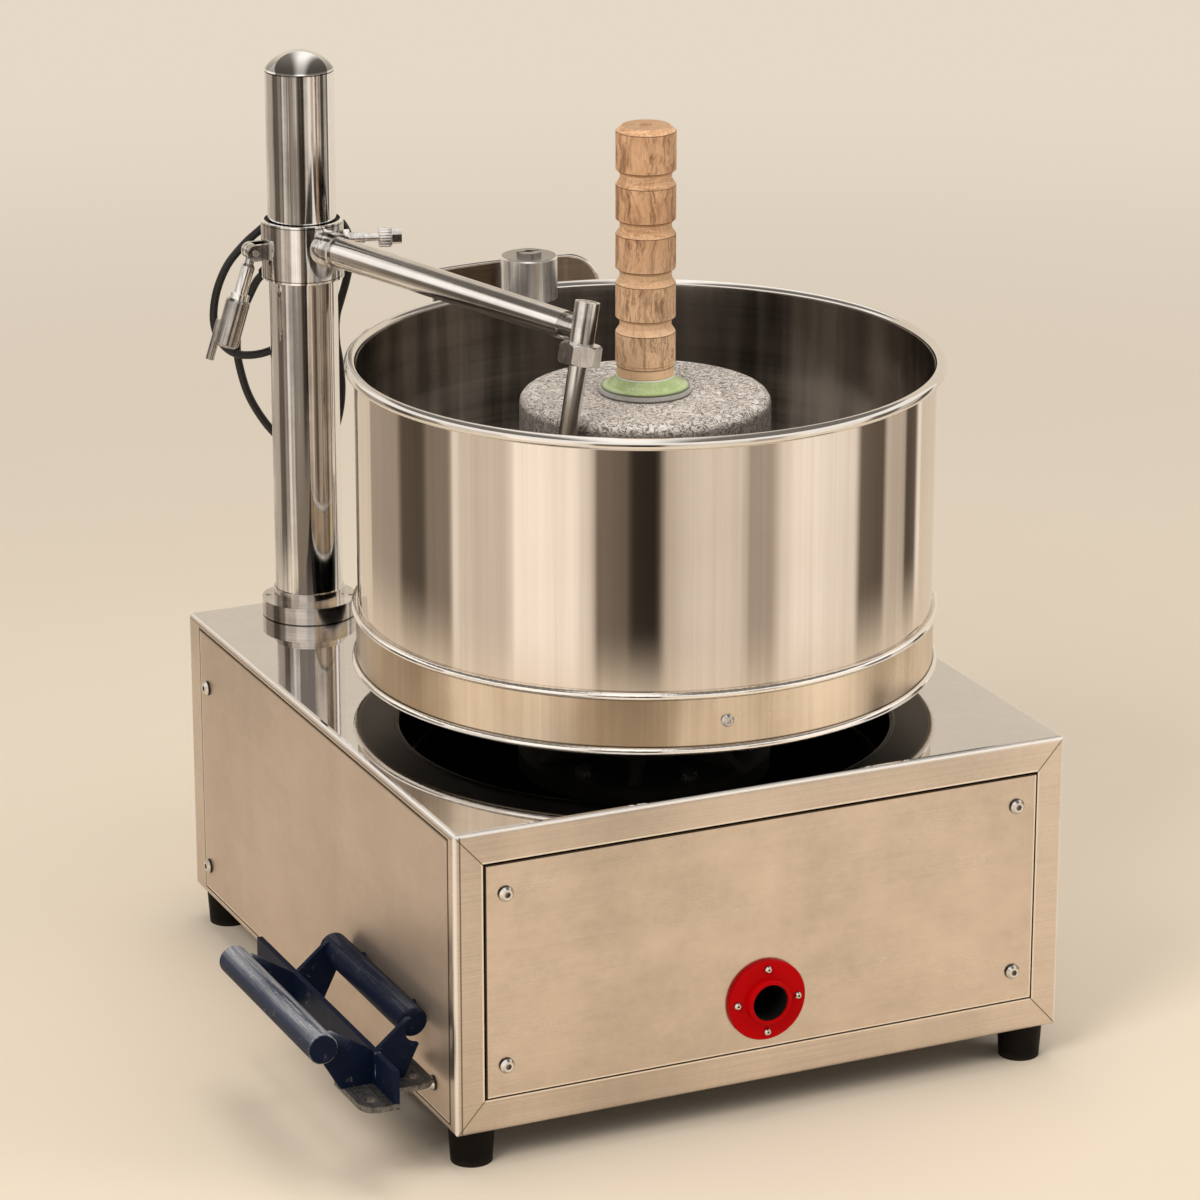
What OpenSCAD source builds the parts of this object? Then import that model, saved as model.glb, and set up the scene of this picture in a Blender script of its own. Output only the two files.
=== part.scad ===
// Table-top wet grinder: steel cabinet with belt drive, turning drum, granite roller and scraper arm.
// Millimetres. +Z up, front towards -Y. Origin on the floor, under the middle of the overall outline.

/* [Cabinet] */
// Width of the cabinet
base_w = 460; // [452:1:520]
// Depth of the cabinet
base_d = 505; // [500:1:514]
// Height of the cabinet without its feet
base_h = 217; // [214:1:260]
// Thickness of the steel sheet
sheet_t = 2; // [1.5:0.1:2.5]
// Outer radius of the bends
bend_r = 4; // [3:0.5:7]
// Width of the front frame beside the access panel
frame_side = 21; // [16:1:32]
// Width of the front frame above the access panel
frame_top = 23; // [16:1:32]
// Width of the front frame below the access panel
frame_bottom = 24; // [16:1:32]
// Gap all round a set-in panel
panel_gap = 1.2; // [0.8:0.1:2]
// Width of the rear strip beside the left panel
rear_strip = 23; // [18:1:34]
// Head radius of the panel screws
panel_screw_r = 5.4; // [4:0.1:6]

/* [Feet] */
// Height of a rubber foot
foot_h = 26; // [20:1:40]
// Radius of a foot at the top
foot_r = 16; // [13:0.5:17]
// Distance of a foot's middle from both cabinet faces
foot_inset = 19; // [18:0.5:24]

/* [Port] */
// Radius of the red flange
port_r = 29; // [26:0.5:33]
// Radius of the raised boss
port_boss_r = 16; // [15:0.5:18]
// Reach of the boss in front of the panel
port_proud = 9; // [8:0.5:14]
// Bore radius of the bush
port_bore_r = 12.5; // [9:0.5:13]
// Height of the port above the bottom of the cabinet
port_up = 61; // [56:1:90]

/* [Drum] */
// Drum axis from the left face
drum_from_left = 239; // [236:1:244]
// Drum axis from the front face
drum_from_front = 215; // [212:1:217]
// Outer radius of the drum shell
drum_r = 203; // [196:1:206]
// Height of the drum shell
drum_h = 218; // [200:1:240]
// Gap between the cabinet and the drum
drum_lift = 23; // [21:1:30]
// Shell thickness
drum_wall = 1.5; // [1:0.1:2]
// Radius of the rolled rim
rim_wire_r = 4.2; // [3:0.1:5]
// Height of the band around the foot of the drum
band_h = 45; // [40:1:56]
// Radius of the band's beads
bead_r = 2.6; // [2:0.1:3.5]
// Height of the drum floor above the lower edge
floor_up = 34; // [31:1:40]

/* [Stones] */
// Thickness of the base stone
base_stone_h = 45; // [30:1:60]
// Radius of the roller stone
roller_r = 88; // [70:1:90]
// Height of the roller stone
roller_h = 112; // [90:1:125]
// Shoulder radius of the roller stone
roller_round = 8; // [4:1:20]
// Radius of the grey ring
ring_r = 32.4; // [28:0.5:40]
// Thickness of the grey ring
ring_t = 4; // [3:0.5:7]
// Height of the flared washer
flare_h = 8.8; // [6:0.2:14]
// Radius of the wooden handle
wood_r = 21; // [18:0.5:24]
// Length of the wooden handle
wood_h = 177; // [165:1:190]
// Number of turned grooves
groove_n = 4; // [2:1:4]
// Distance between the grooves
groove_pitch = 34.8; // [24:0.2:36]

/* [Column] */
// Column axis from the left face
col_from_left = 83; // [78:1:84]
// Column axis from the rear face
col_from_rear = 36; // [36:1:40]
// Column radius
col_r = 25; // [23:0.5:26]
// Height of the column above the cabinet
col_h = 411; // [400:1:450]
// Height of the domed cap
dome_h = 14; // [8:1:18]
// Radius of the foot flange
flange_r = 35; // [33:0.5:36]
// Thickness of the foot flange
flange_t = 13; // [8:1:18]

/* [Arm] */
// Height of the arm above the cabinet
arm_up = 284; // [284:1:290]
// Distance of the scraper rod to the left of the drum axis, at the arm
reach_left = 72.5; // [71.5:0.25:76]
// Distance of the scraper rod in front of the drum axis, at the arm
reach_front = 55.4; // [54:0.2:58]
// Lean of the scraper rod
rod_lean = 11; // [9:0.5:13]
// Length of the sleeve
sleeve_h = 43; // [40:1:48]
// Wall of the liner bush
bush_wall = 2.45; // [2:0.05:3]
// Wall of the sleeve
sleeve_wall = 2.45; // [2.2:0.05:4]
// Arm radius at the sleeve
arm_r1 = 11; // [10:0.2:13]
// Arm radius at the far end
arm_r2 = 10; // [9.4:0.2:12]
// Radius of the scraper rod
rod_r = 6.6; // [5:0.1:6.8]
// Length of the scraper rod below the arm axis
rod_down = 134; // [110:1:140]
// Corner radius of the hexagon nut
nut_r = 15; // [13:0.5:17]

/* [Lever and clamp] */
// Distance of the lever's hinge from the sleeve
hinge_out = 9; // [8:0.5:12]
// Lean of the hanging lever
lever_lean = 18; // [10:1:30]
// Length of the lever's stem
stem_l = 36; // [30:1:44]
// Radius of the lever's grip
grip_r = 9; // [8:0.5:10]
// Length of the lever's grip
grip_l = 36; // [28:1:44]
// Reach of the clamp screw from the column axis
clamp_reach = 72; // [64:1:80]
// Radius of the clamp screw's head
clamp_head_r = 7.4; // [6:0.2:9]
// Number of grooves round the clamp screw's head
knurl_n = 20; // [12:1:24]

/* [Side bracket] */
// Distance of the outer grip tube from the left face
grip_out = 84; // [78:1:96]
// Distance of the inner grip tube from the left face
grip_in = 12.5; // [11.5:0.5:16]
// Radius of the grip tubes
tube_r = 10.5; // [9:0.5:11]
// Height of the grip tubes above the bottom of the cabinet
tube_up = 70.5; // [60:0.5:120]
// Distance of the fin from the left face
fin_out = 45; // [40:1:52]
// Radius of the lug holes
lug_hole_r = 4.25; // [3:0.25:5]
// Length of the fin
fin_l = 254; // [250:1:260]

/* [Drive] */
// Radius of the drum pulley
pulley_r = 150; // [120:1:155]
// Radius of the motor pulley
motor_pulley_r = 24; // [20:1:28]
// Motor axis from the right face
motor_from_right = 101; // [96:1:111]
// Motor axis from the rear face
motor_from_rear = 100; // [95:1:108]
// Radius of the motor body
motor_r = 60; // [50:1:62]
// Length of the motor body
motor_l = 72; // [60:1:76]
// Radius of the hub's disc under the drum floor
hub_disc_r = 90; // [80:1:96]
// Radius of the drum spindle
spindle_r = 15; // [12:0.5:17]

/* [Hidden] */
$fn = 72;
fit = 0.1;
run = 0.05;
handle_reach = grip_out + tube_r;
x0 = (handle_reach - base_w) / 2;
x1 = x0 + base_w;
bush_r = col_r + run + bush_wall;
sleeve_in = bush_r + run;
sleeve_r = sleeve_in + sleeve_wall;
// Pin behind the sleeve that holds the cord's loop: its frame, head and reach past the rear face.
cord_turn = -24.6;
hook_out = sleeve_r + 18;
hook_head_r = 7;
rear_over = max(0, hook_out * cos(cord_turn) - hook_head_r * sin(cord_turn) - col_from_rear);
y0 = (port_proud - base_d - rear_over) / 2;
y1 = y0 + base_d;
top_z = foot_h + base_h;
under_z = top_z - sheet_t;
drum_x = x0 + drum_from_left;
drum_y = y0 + drum_from_front;
drum_z = top_z + drum_lift;
rim_z = drum_z + drum_h;
floor_z = drum_z + floor_up;
floor_t = 4;
skirt_r = drum_r - drum_wall - fit;
stone_z = floor_z + floor_t;
roller_z = stone_z + base_stone_h + 0.3;
ring_z = roller_z + roller_h;
flare_z = ring_z + ring_t;
wood_z = flare_z + flare_h;
bead1 = band_h - bead_r - 0.4;
bead2 = bead_r + 0.4;
band_screw_r = 4.5;
col_x = x0 + col_from_left;
col_y = y1 - col_from_rear;
col_top = top_z + col_h;
plate_t = 8;
arm_z = top_z + arm_up;
arm_dx = drum_x - reach_left - col_x;
arm_dy = drum_y - reach_front - col_y;
arm_len = norm([arm_dx, arm_dy]);
arm_turn = atan2(arm_dy, arm_dx);
sleeve_z = arm_z - 26;
boss_l = 46;
socket_r = rod_r + 1.95;
spigot_r = 7.8;
spigot_l = 18;
rod_up = 17;
blade_l = 48;
lever_z = arm_z - 4;
hinge_x = sleeve_r + hinge_out;
clamp_turn = -18;
port_x = (x0 + x1) / 2;
port_z = foot_h + port_up;
win_x0 = x0 + frame_side;
win_x1 = x1 - frame_side;
win_z0 = foot_h + frame_bottom;
win_z1 = top_z - frame_top;
left_y0 = y0 + 9;
left_y1 = y1 - rear_strip;
left_z0 = foot_h + 6;
left_z1 = top_z - 5;
left_spots = [[y1 - 39, top_z - 47.5], [y1 - 33, foot_h + 26], [y0 + 38, foot_h + 26]];
panel_in_x = 15;
panel_in_z = 22;
flange_w = 37;
chassis_z = foot_h + sheet_t;
chassis_t = 3;
spin_r = spindle_r + run;
hub_z = top_z + 3;
bearing_r = 31;
bearing_h = 16;
upper_z = under_z - 3 - bearing_h;
lower_z = foot_h + 98;
house_r = 42;
pulley_z = foot_h + 49;
pulley_h = 22;
belt_z = pulley_z + pulley_h / 2;
belt_half = 4.5;
groove_d = 12;
belt_in = 8.6;
belt_out = 0.6;
motor_x = x1 - motor_from_right;
motor_y = y1 - motor_from_rear;
motor_dx = motor_x - drum_x;
motor_dy = motor_y - drum_y;
motor_z = foot_h + 92;
shaft_r = 7;
guard_r = 255.5 + fit + max(0, drum_r - 203);
guard_top = top_z + 251;
post_r = 12;
post_turn = 86.3;
post_dist = guard_r - fit - post_r;
boss_r = 20.5;
boss_h = 31;
boss_z = rim_z + rim_wire_r + 5;
boss_at = 158.4 * [cos(96.9), sin(96.9)];
post_at = post_dist * [cos(post_turn), sin(post_turn)];
strap_l = norm(boss_at - post_at);
strap_turn = atan2(boss_at[1] - post_at[1], boss_at[0] - post_at[0]);
tube_z = foot_h + tube_up;
fin_z0 = tube_z - 33.5;
fin_z1 = tube_z - 9.5;
cord_r = 3;
// Cord's route in the frame behind the column: across, backwards, and height from the arm axis.
route = [[-31, 28, -32], [-36, 30, -38], [-41, 32, -48], [-47, 35, -62], [-51.5, 40, -78], [-53, 44.5, -94],
    [-51, 46, -110], [-46, 46, -128], [-38, 46, -144], [-27, 46, -159], [-13, 46, -171], [2, 46, -174],
    [14, 46, -166], [21, 46, -148], [24, 46, -127], [23, 46, -106], [20.5, 46, -87], [21, 46, -70],
    [25, 46, -55], [29, 46, -41], [32, 46, -24], [31, 45, -7], [23, 43.5, 6], [9, 42, 12.6],
    [-8, 41, 12.6], [-22, 40, 7], [-35, 38.5, -3], [-46, 37, -13], [-58, 36, -28], [-66, 36, -47],
    [-69, 36, -66], [-67, 36, -80], [-61, 36, -90], [-52, 36, -95.5], [-40, 36, -96], [-28, 36, -93],
    [-15, 36, -86], [-5, 35.5, -74], [-1, 35, -59], [0, 35, -44], [0, 35, -33]];
cord_steps = 2;
cord_sides = 10;

function arc(cx, cy, r, a0, a1, n) =
    [for (i = [0:n]) [cx + r * cos(a0 + (a1 - a0) * i / n), cy + r * sin(a0 + (a1 - a0) * i / n)]];
function round_box(ax, ay, bx, by, r) =
    concat(arc(bx - r, ay + r, r, -90, 0, 4), arc(bx - r, by - r, r, 0, 90, 4),
    arc(ax + r, by - r, r, 90, 180, 4), arc(ax + r, ay + r, r, 180, 270, 4));

module block(ax, ay, az, bx, by, bz) {
    translate([ax, ay, az]) cube([bx - ax, by - ay, bz - az]);
}
module ring(r_out, r_in, z, h) {
    translate([0, 0, z]) difference() {
        cylinder(r = r_out, h = h);
        translate([0, 0, -1]) cylinder(r = r_in, h = h + 2);
    }
}
// Round screw with a low domed head and a hexagon socket; seat at z = 0, shank downwards.
module button_screw(r, head_h, shank_r, shank_l) {
    difference() {
        union() {
            cylinder(r = r, h = head_h * 0.4);
            translate([0, 0, head_h * 0.4]) cylinder(r1 = r, r2 = r * 0.66, h = head_h * 0.6);
            translate([0, 0, -shank_l]) cylinder(r = shank_r, h = shank_l + 0.1);
        }
        translate([0, 0, head_h * 0.45]) cylinder(r = r * 0.42, h = head_h, $fn = 6);
    }
}
module at_drum() { translate([drum_x, drum_y, 0]) children(); }
module at_column() { translate([col_x, col_y, 0]) children(); }
module at_motor() { translate([motor_x, motor_y, 0]) children(); }
module along_arm() { translate([col_x, col_y, arm_z]) rotate([0, 0, arm_turn]) children(); }
module at_socket() { along_arm() translate([arm_len, 0, 0]) rotate([-rod_lean, 0, 0]) children(); }
module at_post() { at_drum() translate([post_at[0], post_at[1], 0]) children(); }
module at_boss() { at_drum() translate([boss_at[0], boss_at[1], boss_z]) children(); }
module at_hinge() { translate([col_x - hinge_x, col_y, lever_z]) children(); }
module at_clamp() {
    at_column() rotate([0, 0, clamp_turn]) translate([0, 0, arm_z + 1]) rotate([0, 90, 0]) children();
}
module at_front() { rotate([90, 0, 0]) children(); }
module at_left() { rotate([0, -90, 0]) children(); }
module at_feet() {
    for (x = [x0 + foot_inset, x1 - foot_inset], y = [y0 + foot_inset, y1 - foot_inset])
        translate([x, y, 0]) children();
}
module at_panel_corners() {
    for (x = [win_x0 + panel_gap + panel_in_x, win_x1 - panel_gap - panel_in_x],
        z = [win_z0 + panel_gap + panel_in_z, win_z1 - panel_gap - panel_in_z])
        translate([x, y0, z]) children();
}
module at_left_spots() { for (s = left_spots) translate([x0, s[0], s[1]]) children(); }
module at_port() { translate([port_x, y0, port_z]) at_front() children(); }
module at_studs() { for (y = [y0 + 70, y0 + 160]) translate([x0, y, tube_z]) at_left() children(); }

// Bent box: three prisms with rounded bends, one per direction.
module bent_box(gap, r) {
    intersection() {
        translate([0, 0, foot_h + gap]) linear_extrude(base_h - 2 * gap)
            polygon(round_box(x0 + gap, y0 + gap, x1 - gap, y1 - gap, r));
        translate([0, y1 - gap, 0]) rotate([90, 0, 0]) linear_extrude(base_d - 2 * gap)
            polygon(round_box(x0 + gap, foot_h + gap, x1 - gap, top_z - gap, r));
        translate([x0 + gap, 0, 0]) rotate([90, 0, 90]) linear_extrude(base_w - 2 * gap)
            polygon(round_box(y0 + gap, foot_h + gap, y1 - gap, top_z - gap, r));
    }
}
module base_shell() {
    back = y0 + sheet_t;
    side = x0 + sheet_t;
    lip = 12;
    color([0.78, 0.77, 0.75]) difference() {
        union() {
            difference() {
                bent_box(0, bend_r);
                bent_box(sheet_t, bend_r - sheet_t + 0.2);
                block(win_x0, y0 - 1, win_z0, win_x1, back + 1, win_z1);
                block(x0 - 1, left_y0, left_z0, side + 1, left_y1, left_z1);
            }
            difference() {
                block(win_x0 - 6, back, win_z0 - 6, win_x1 + 6, back + sheet_t, win_z1 + 6);
                block(win_x0 + lip, back - 1, win_z0 + lip, win_x1 - lip, back + sheet_t + 1, win_z1 - lip);
            }
            for (x = [win_x0 - 6, win_x1 - 34], z = [win_z0 - 6, win_z1 - 42])
                block(x, back, z, x + 40, back + sheet_t, z + 48);
            difference() {
                block(side, left_y0 - 2, left_z0 - 2, side + sheet_t, left_y1 + 6, left_z1 + 1);
                block(side - 1, left_y0 + lip, left_z0 + lip,
                    side + sheet_t + 1, left_y1 - lip, left_z1 - lip);
            }
            block(side, left_y1 - 30, left_z1 - 60, side + sheet_t, left_y1, left_z1);
            for (y = [left_y1 - 30, left_y0]) block(side, y, left_z0, side + sheet_t, y + 46, left_z0 + 40);
        }
        block(x0 + flange_w, y0 + flange_w, foot_h - 1, x1 - flange_w, y1 - flange_w, foot_h + sheet_t + 1);
        at_drum() translate([0, 0, under_z - 1]) cylinder(r = spindle_r + 9, h = sheet_t + 2);
        at_column() translate([0, 0, under_z - 1]) cylinder(r = col_r + fit, h = sheet_t + 2);
        at_post() translate([0, 0, under_z - 1]) cylinder(r = 6 + fit, h = sheet_t + 2);
        at_feet() translate([0, 0, foot_h - 1]) cylinder(r = 3 + fit, h = sheet_t + 2);
        at_panel_corners() at_front() translate([0, 0, -9]) cylinder(r = 2.5 + fit, h = 10);
        at_left_spots() at_left() translate([0, 0, -9]) cylinder(r = 2.5 + fit, h = 10);
    }
}
module front_panel() {
    color([0.76, 0.73, 0.68]) difference() {
        block(win_x0 + panel_gap, y0, win_z0 + panel_gap,
            win_x1 - panel_gap, y0 + sheet_t, win_z1 - panel_gap);
        at_panel_corners() at_front() translate([0, 0, -9]) cylinder(r = 2.5 + fit, h = 10);
        at_port() translate([0, 0, -9]) cylinder(r = port_bore_r + 2.2 + fit, h = 10);
        at_port() for (a = [0:90:270]) rotate([0, 0, a]) translate([port_r - 6, 0, -9])
            cylinder(r = 1.6 + fit, h = 10);
    }
}
module left_panel() {
    color([0.74, 0.7, 0.65]) difference() {
        block(x0, left_y0 + panel_gap, left_z0 + panel_gap,
            x0 + sheet_t, left_y1 - panel_gap, left_z1 - panel_gap);
        at_left_spots() at_left() translate([0, 0, -9]) cylinder(r = 2.5 + fit, h = 10);
        at_studs() translate([0, 0, -9]) cylinder(r = 4 + fit, h = 10);
    }
}
module chassis_plate() {
    in = sheet_t + 3;
    color([0.55, 0.55, 0.55]) difference() {
        block(x0 + in, y0 + in, chassis_z, x1 - in, y1 - in, chassis_z + chassis_t);
        at_feet() translate([0, 0, chassis_z - 1]) cylinder(r = 3 + fit, h = chassis_t + 2);
    }
}
module rubber_feet() {
    color([0.07, 0.07, 0.07]) at_feet() difference() {
        cylinder(r1 = foot_r - 1.7, r2 = foot_r, h = foot_h);
        translate([0, 0, -1]) cylinder(r = 6.2, h = 11);
        translate([0, 0, -1]) cylinder(r = 3 + fit, h = foot_h + 2);
    }
}
module foot_screws() {
    color([0.6, 0.6, 0.6]) at_feet() {
        translate([0, 0, 10]) mirror([0, 0, 1]) button_screw(5.5, 4, 3, 0);
        translate([0, 0, 9.9]) cylinder(r = 3, h = chassis_z + chassis_t - 9.9);
    }
}
module panel_screws() {
    color([0.8, 0.8, 0.8]) at_panel_corners() at_front() button_screw(panel_screw_r, 3.6, 2.5, 8);
}
module left_screws() {
    color([0.8, 0.8, 0.8]) at_left_spots() at_left() button_screw(panel_screw_r, 3.6, 2.5, 8);
}
module port_flange() {
    color([0.7, 0.03, 0.04]) at_port() difference() {
        union() {
            cylinder(r = port_r, h = 3);
            translate([0, 0, 3]) cylinder(r1 = port_r, r2 = port_r - 1, h = 1);
            cylinder(r = port_boss_r, h = port_proud - 1);
            translate([0, 0, port_proud - 1]) cylinder(r1 = port_boss_r, r2 = port_boss_r - 1, h = 1);
        }
        translate([0, 0, -1]) cylinder(r = port_bore_r + 0.8, h = port_proud + 2);
        for (a = [0:90:270]) rotate([0, 0, a]) translate([port_r - 6, 0, -1]) cylinder(r = 1.6 + fit, h = 8);
    }
}
module port_bush() {
    color([0.04, 0.04, 0.04]) at_port() difference() {
        union() {
            translate([0, 0, -26]) cylinder(r = port_bore_r + 2.2, h = 26);
            cylinder(r = port_bore_r + 0.7, h = port_proud - 1.5);
        }
        translate([0, 0, -24]) cylinder(r = port_bore_r, h = 24 + port_proud);
    }
}
module port_screws() {
    color([0.85, 0.85, 0.85]) at_port() for (a = [0:90:270]) rotate([0, 0, a])
        translate([port_r - 6, 0, 4]) button_screw(2.6, 1.8, 1.6, 10);
}
module column() {
    z = under_z - plate_t;
    color([0.8, 0.8, 0.8]) at_column() ring(col_r, col_r - 3, z, col_top - z);
}
module column_cap() {
    dome_r = (col_r * col_r + dome_h * dome_h) / (2 * dome_h);
    color([0.82, 0.82, 0.82]) at_column() translate([0, 0, col_top]) {
        rotate_extrude() intersection() {
            translate([0, dome_h - dome_r]) circle(r = dome_r);
            square([col_r + 1, dome_h + 1]);
        }
        translate([0, 0, -12]) cylinder(r = col_r - 3 - fit, h = 12.1);
    }
}
module column_flange() {
    color([0.8, 0.8, 0.8]) at_column() difference() {
        union() {
            ring(flange_r, col_r + fit, top_z, flange_t);
            ring(col_r + 1.2, col_r + fit, top_z, flange_t + 8);
        }
        at_flange_screws() translate([0, 0, top_z - 1]) cylinder(r = 2 + fit, h = flange_t + 2);
    }
}
module at_flange_screws() {
    for (a = [0, 180]) rotate([0, 0, cord_turn + a]) translate([(flange_r + col_r) / 2 + 0.6, 0, 0])
        children();
}
module flange_screws() {
    color([0.35, 0.35, 0.35]) at_column() at_flange_screws() translate([0, 0, top_z]) difference() {
        cylinder(r = 2, h = flange_t - 0.4);
        translate([0, 0, flange_t - 1.6]) cylinder(r = 1.1, h = 3, $fn = 6);
    }
}
module column_backplate() {
    color([0.5, 0.5, 0.5]) at_column() difference() {
        block(-46, -46, under_z - plate_t, 46, col_from_rear - 6, under_z);
        translate([0, 0, under_z - plate_t - 1]) cylinder(r = col_r + fit, h = plate_t + 2);
    }
}
module rear_post() {
    color([0.8, 0.8, 0.8]) union() {
        at_post() translate([0, 0, top_z]) cylinder(r = post_r, h = boss_z - fit - top_z);
        at_post() translate([0, 0, under_z - 12]) cylinder(r = 6, h = 13 + sheet_t);
        at_post() translate([0, 0, boss_z]) rotate([0, 0, strap_turn]) block(-8, -8, 0, strap_l, 8, 8);
        at_boss() cylinder(r = boss_r, h = boss_h - 1);
        at_boss() translate([0, 0, boss_h - 1]) cylinder(r1 = boss_r, r2 = boss_r - 1, h = 1);
    }
}
module post_nut() {
    color([0.75, 0.75, 0.75]) at_boss() translate([0, 0, boss_h]) difference() {
        cylinder(r = 9, h = 3);
        translate([0, 0, 1]) cylinder(r = 3.2, h = 3);
        block(-10, -1, 1.8, 10, 1, 4);
    }
}
module guard_plate() {
    a0 = post_turn - 13.5;
    a1 = post_turn + 16.1;
    z1 = guard_top;
    cut = 24;
    color([0.5, 0.5, 0.5]) at_drum() difference() {
        translate([0, 0, z1 - 60]) rotate([0, 0, a0]) rotate_extrude(angle = a1 - a0)
            translate([guard_r, 0]) square([2, 60]);
        rotate([0, 0, a0]) translate([guard_r - 5, 0, 0]) rotate([90, 0, 90]) linear_extrude(12)
            polygon(concat([[-1, z1 + 1]], [for (p = arc(cut, z1 - cut, cut, 180, 90, 6)) p]));
    }
}
module handle_frame() {
    dark = [0.1, 0.12, 0.2];
    color(dark) difference() {
        union() {
            block(x0 - fin_out - 2, y0 - 7, fin_z0, x0 - fin_out + 2, y0 - 7 + fin_l, fin_z1);
            for (y = [y0 + 35, y0 + 181]) translate([x0, y, 0]) rotate([90, 0, 0]) linear_extrude(4)
                polygon([[-grip_out, tube_z + 8.5], [-grip_out + 9, tube_z + 8.5], [-fin_out - 2, fin_z1],
                    [-fin_out + 2, fin_z1], [-grip_in - 9, tube_z + 8.5], [-grip_in, tube_z + 8.5],
                    [-grip_in, tube_z - 9], [-grip_in - 12, fin_z0],
                    [-grip_out + 14, fin_z0], [-grip_out, tube_z - 9]]);
            translate([x0, y0, fin_z0 - 4]) linear_extrude(4) polygon(concat([[-fin_out + 2, -7]],
                [[-fin_out + 2, 48], [-fin_out - 23, 48]], arc(-fin_out - 11, 5, 12, 180, 270, 4)));
            translate([x0, y0, fin_z0 - 4]) linear_extrude(4) polygon(concat(
                [[-fin_out - 2, 16], [-fin_out - 2, 65], [-fin_out + 38, 65]],
                arc(-fin_out + 28, 26, 10, 0, -90, 4)));
        }
        for (x = [-grip_out, -grip_in]) translate([x0 + x, y0 - 20, tube_z]) rotate([-90, 0, 0])
            cylinder(r = tube_r, h = 300);
        at_lug_holes() translate([0, 0, fin_z0 - 6]) cylinder(r = lug_hole_r, h = 8);
    }
}
module at_lug_holes() {
    for (p = [[-fin_out - 13, 7], [-fin_out + 27, 30]]) translate([x0 + p[0], y0 + p[1], 0]) children();
}
module handle_grips() {
    color([0.13, 0.18, 0.32]) difference() {
        for (p = [[-grip_out, 25, 195], [-grip_in, 43, 188]])
            translate([x0 + p[0], y0 + p[1], tube_z]) rotate([-90, 0, 0]) union() {
            translate([0, 0, 1]) cylinder(r = tube_r, h = p[2] - p[1] - 2);
            cylinder(r1 = tube_r - 1, r2 = tube_r, h = 1);
            translate([0, 0, p[2] - p[1] - 1]) cylinder(r1 = tube_r, r2 = tube_r - 1, h = 1);
        }
        at_studs() translate([0, 0, -5]) cylinder(r = 4 + fit, h = grip_in + 5);
    }
}
module handle_studs() {
    color([0.5, 0.5, 0.5]) at_studs() translate([0, 0, -8]) cylinder(r = 4, h = grip_in + 8);
}
module bearing_housing() {
    color([0.35, 0.36, 0.37]) at_drum() difference() {
        union() {
            translate([0, 0, under_z - 12]) cylinder(r = 75, h = 12);
            translate([0, 0, lower_z]) cylinder(r = house_r, h = under_z - lower_z);
        }
        translate([0, 0, lower_z - 1]) cylinder(r = bearing_r + fit, h = bearing_h + 1);
        translate([0, 0, lower_z - 1]) cylinder(r = bearing_r - 6, h = under_z);
        translate([0, 0, upper_z]) cylinder(r = bearing_r + fit, h = under_z);
    }
}
module upper_bearing() { color([0.7, 0.7, 0.7]) at_drum() ring(bearing_r, spin_r, upper_z, bearing_h); }
module lower_bearing() { color([0.7, 0.7, 0.7]) at_drum() ring(bearing_r, spin_r, lower_z, bearing_h); }
module motor_bracket() {
    half = motor_r + 15;
    color([0.4, 0.4, 0.42]) at_motor() difference() {
        union() {
            block(-half, -half, motor_z - 6, half, half, motor_z);
            block(half - 6, -half, chassis_z + chassis_t, half, half, motor_z);
            block(-half, half - 6, chassis_z + chassis_t, half, half, motor_z);
        }
        translate([0, 0, motor_z - 7]) cylinder(r = 14, h = 8);
    }
}
module motor_body() {
    color([0.2, 0.25, 0.3]) at_motor() difference() {
        union() {
            translate([0, 0, motor_z]) cylinder(r = motor_r, h = motor_l);
            for (a = [0:30:330]) rotate([0, 0, a]) block(motor_r - 4, -2, motor_z + 8,
                motor_r + 5, 2, motor_z + motor_l - 6);
        }
        translate([0, 0, motor_z - 1]) cylinder(r = shaft_r + fit, h = 48);
    }
}
module motor_cap() {
    color([0.15, 0.15, 0.15]) at_motor() translate([0, 0, motor_z + motor_l]) union() {
        cylinder(r = motor_r + 2, h = 28);
        translate([0, 0, 28]) cylinder(r1 = motor_r + 2, r2 = motor_r - 4, h = 6);
    }
}
module motor_shaft() {
    color([0.7, 0.7, 0.7]) at_motor() translate([0, 0, pulley_z - 4])
        cylinder(r = shaft_r, h = motor_z + 44 - pulley_z);
}
// Side of a grooved pulley, as a half section.
function pulley_side(r) = [[r, pulley_z], [r, belt_z - belt_half - 2],
    [r - groove_d, belt_z - belt_half - 0.6],
    [r - groove_d, belt_z + belt_half + 0.6], [r, belt_z + belt_half + 2], [r, pulley_z + pulley_h]];
module motor_pulley() {
    color([0.5, 0.5, 0.5]) at_motor() rotate_extrude()
        polygon(concat([[shaft_r, pulley_z]], pulley_side(motor_pulley_r + 2),
            [[shaft_r, pulley_z + pulley_h]]));
}
module drive_belt() {
    color([0.05, 0.05, 0.05]) at_drum() translate([0, 0, belt_z - belt_half])
        linear_extrude(2 * belt_half) difference() {
        hull() {
            circle(r = pulley_r - belt_out);
            translate([motor_dx, motor_dy]) circle(r = motor_pulley_r + 2 - belt_out, $fn = 48);
        }
        hull() {
            circle(r = pulley_r - belt_in);
            translate([motor_dx, motor_dy]) circle(r = motor_pulley_r + 2 - belt_in, $fn = 48);
        }
    }
}
module drum_shell() {
    color([0.8, 0.79, 0.77]) at_drum() difference() {
        union() {
            ring(drum_r, drum_r - drum_wall, drum_z, drum_h);
            ring(drum_r - 0.5, drum_r - 26, drum_z, drum_wall);
            rotate_extrude() translate([drum_r - 26, drum_z + 1.6]) circle(r = 2.2);
        }
        at_band_screws() translate([0, 0, -12]) cylinder(r = 2 + fit, h = 20);
    }
}
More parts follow.
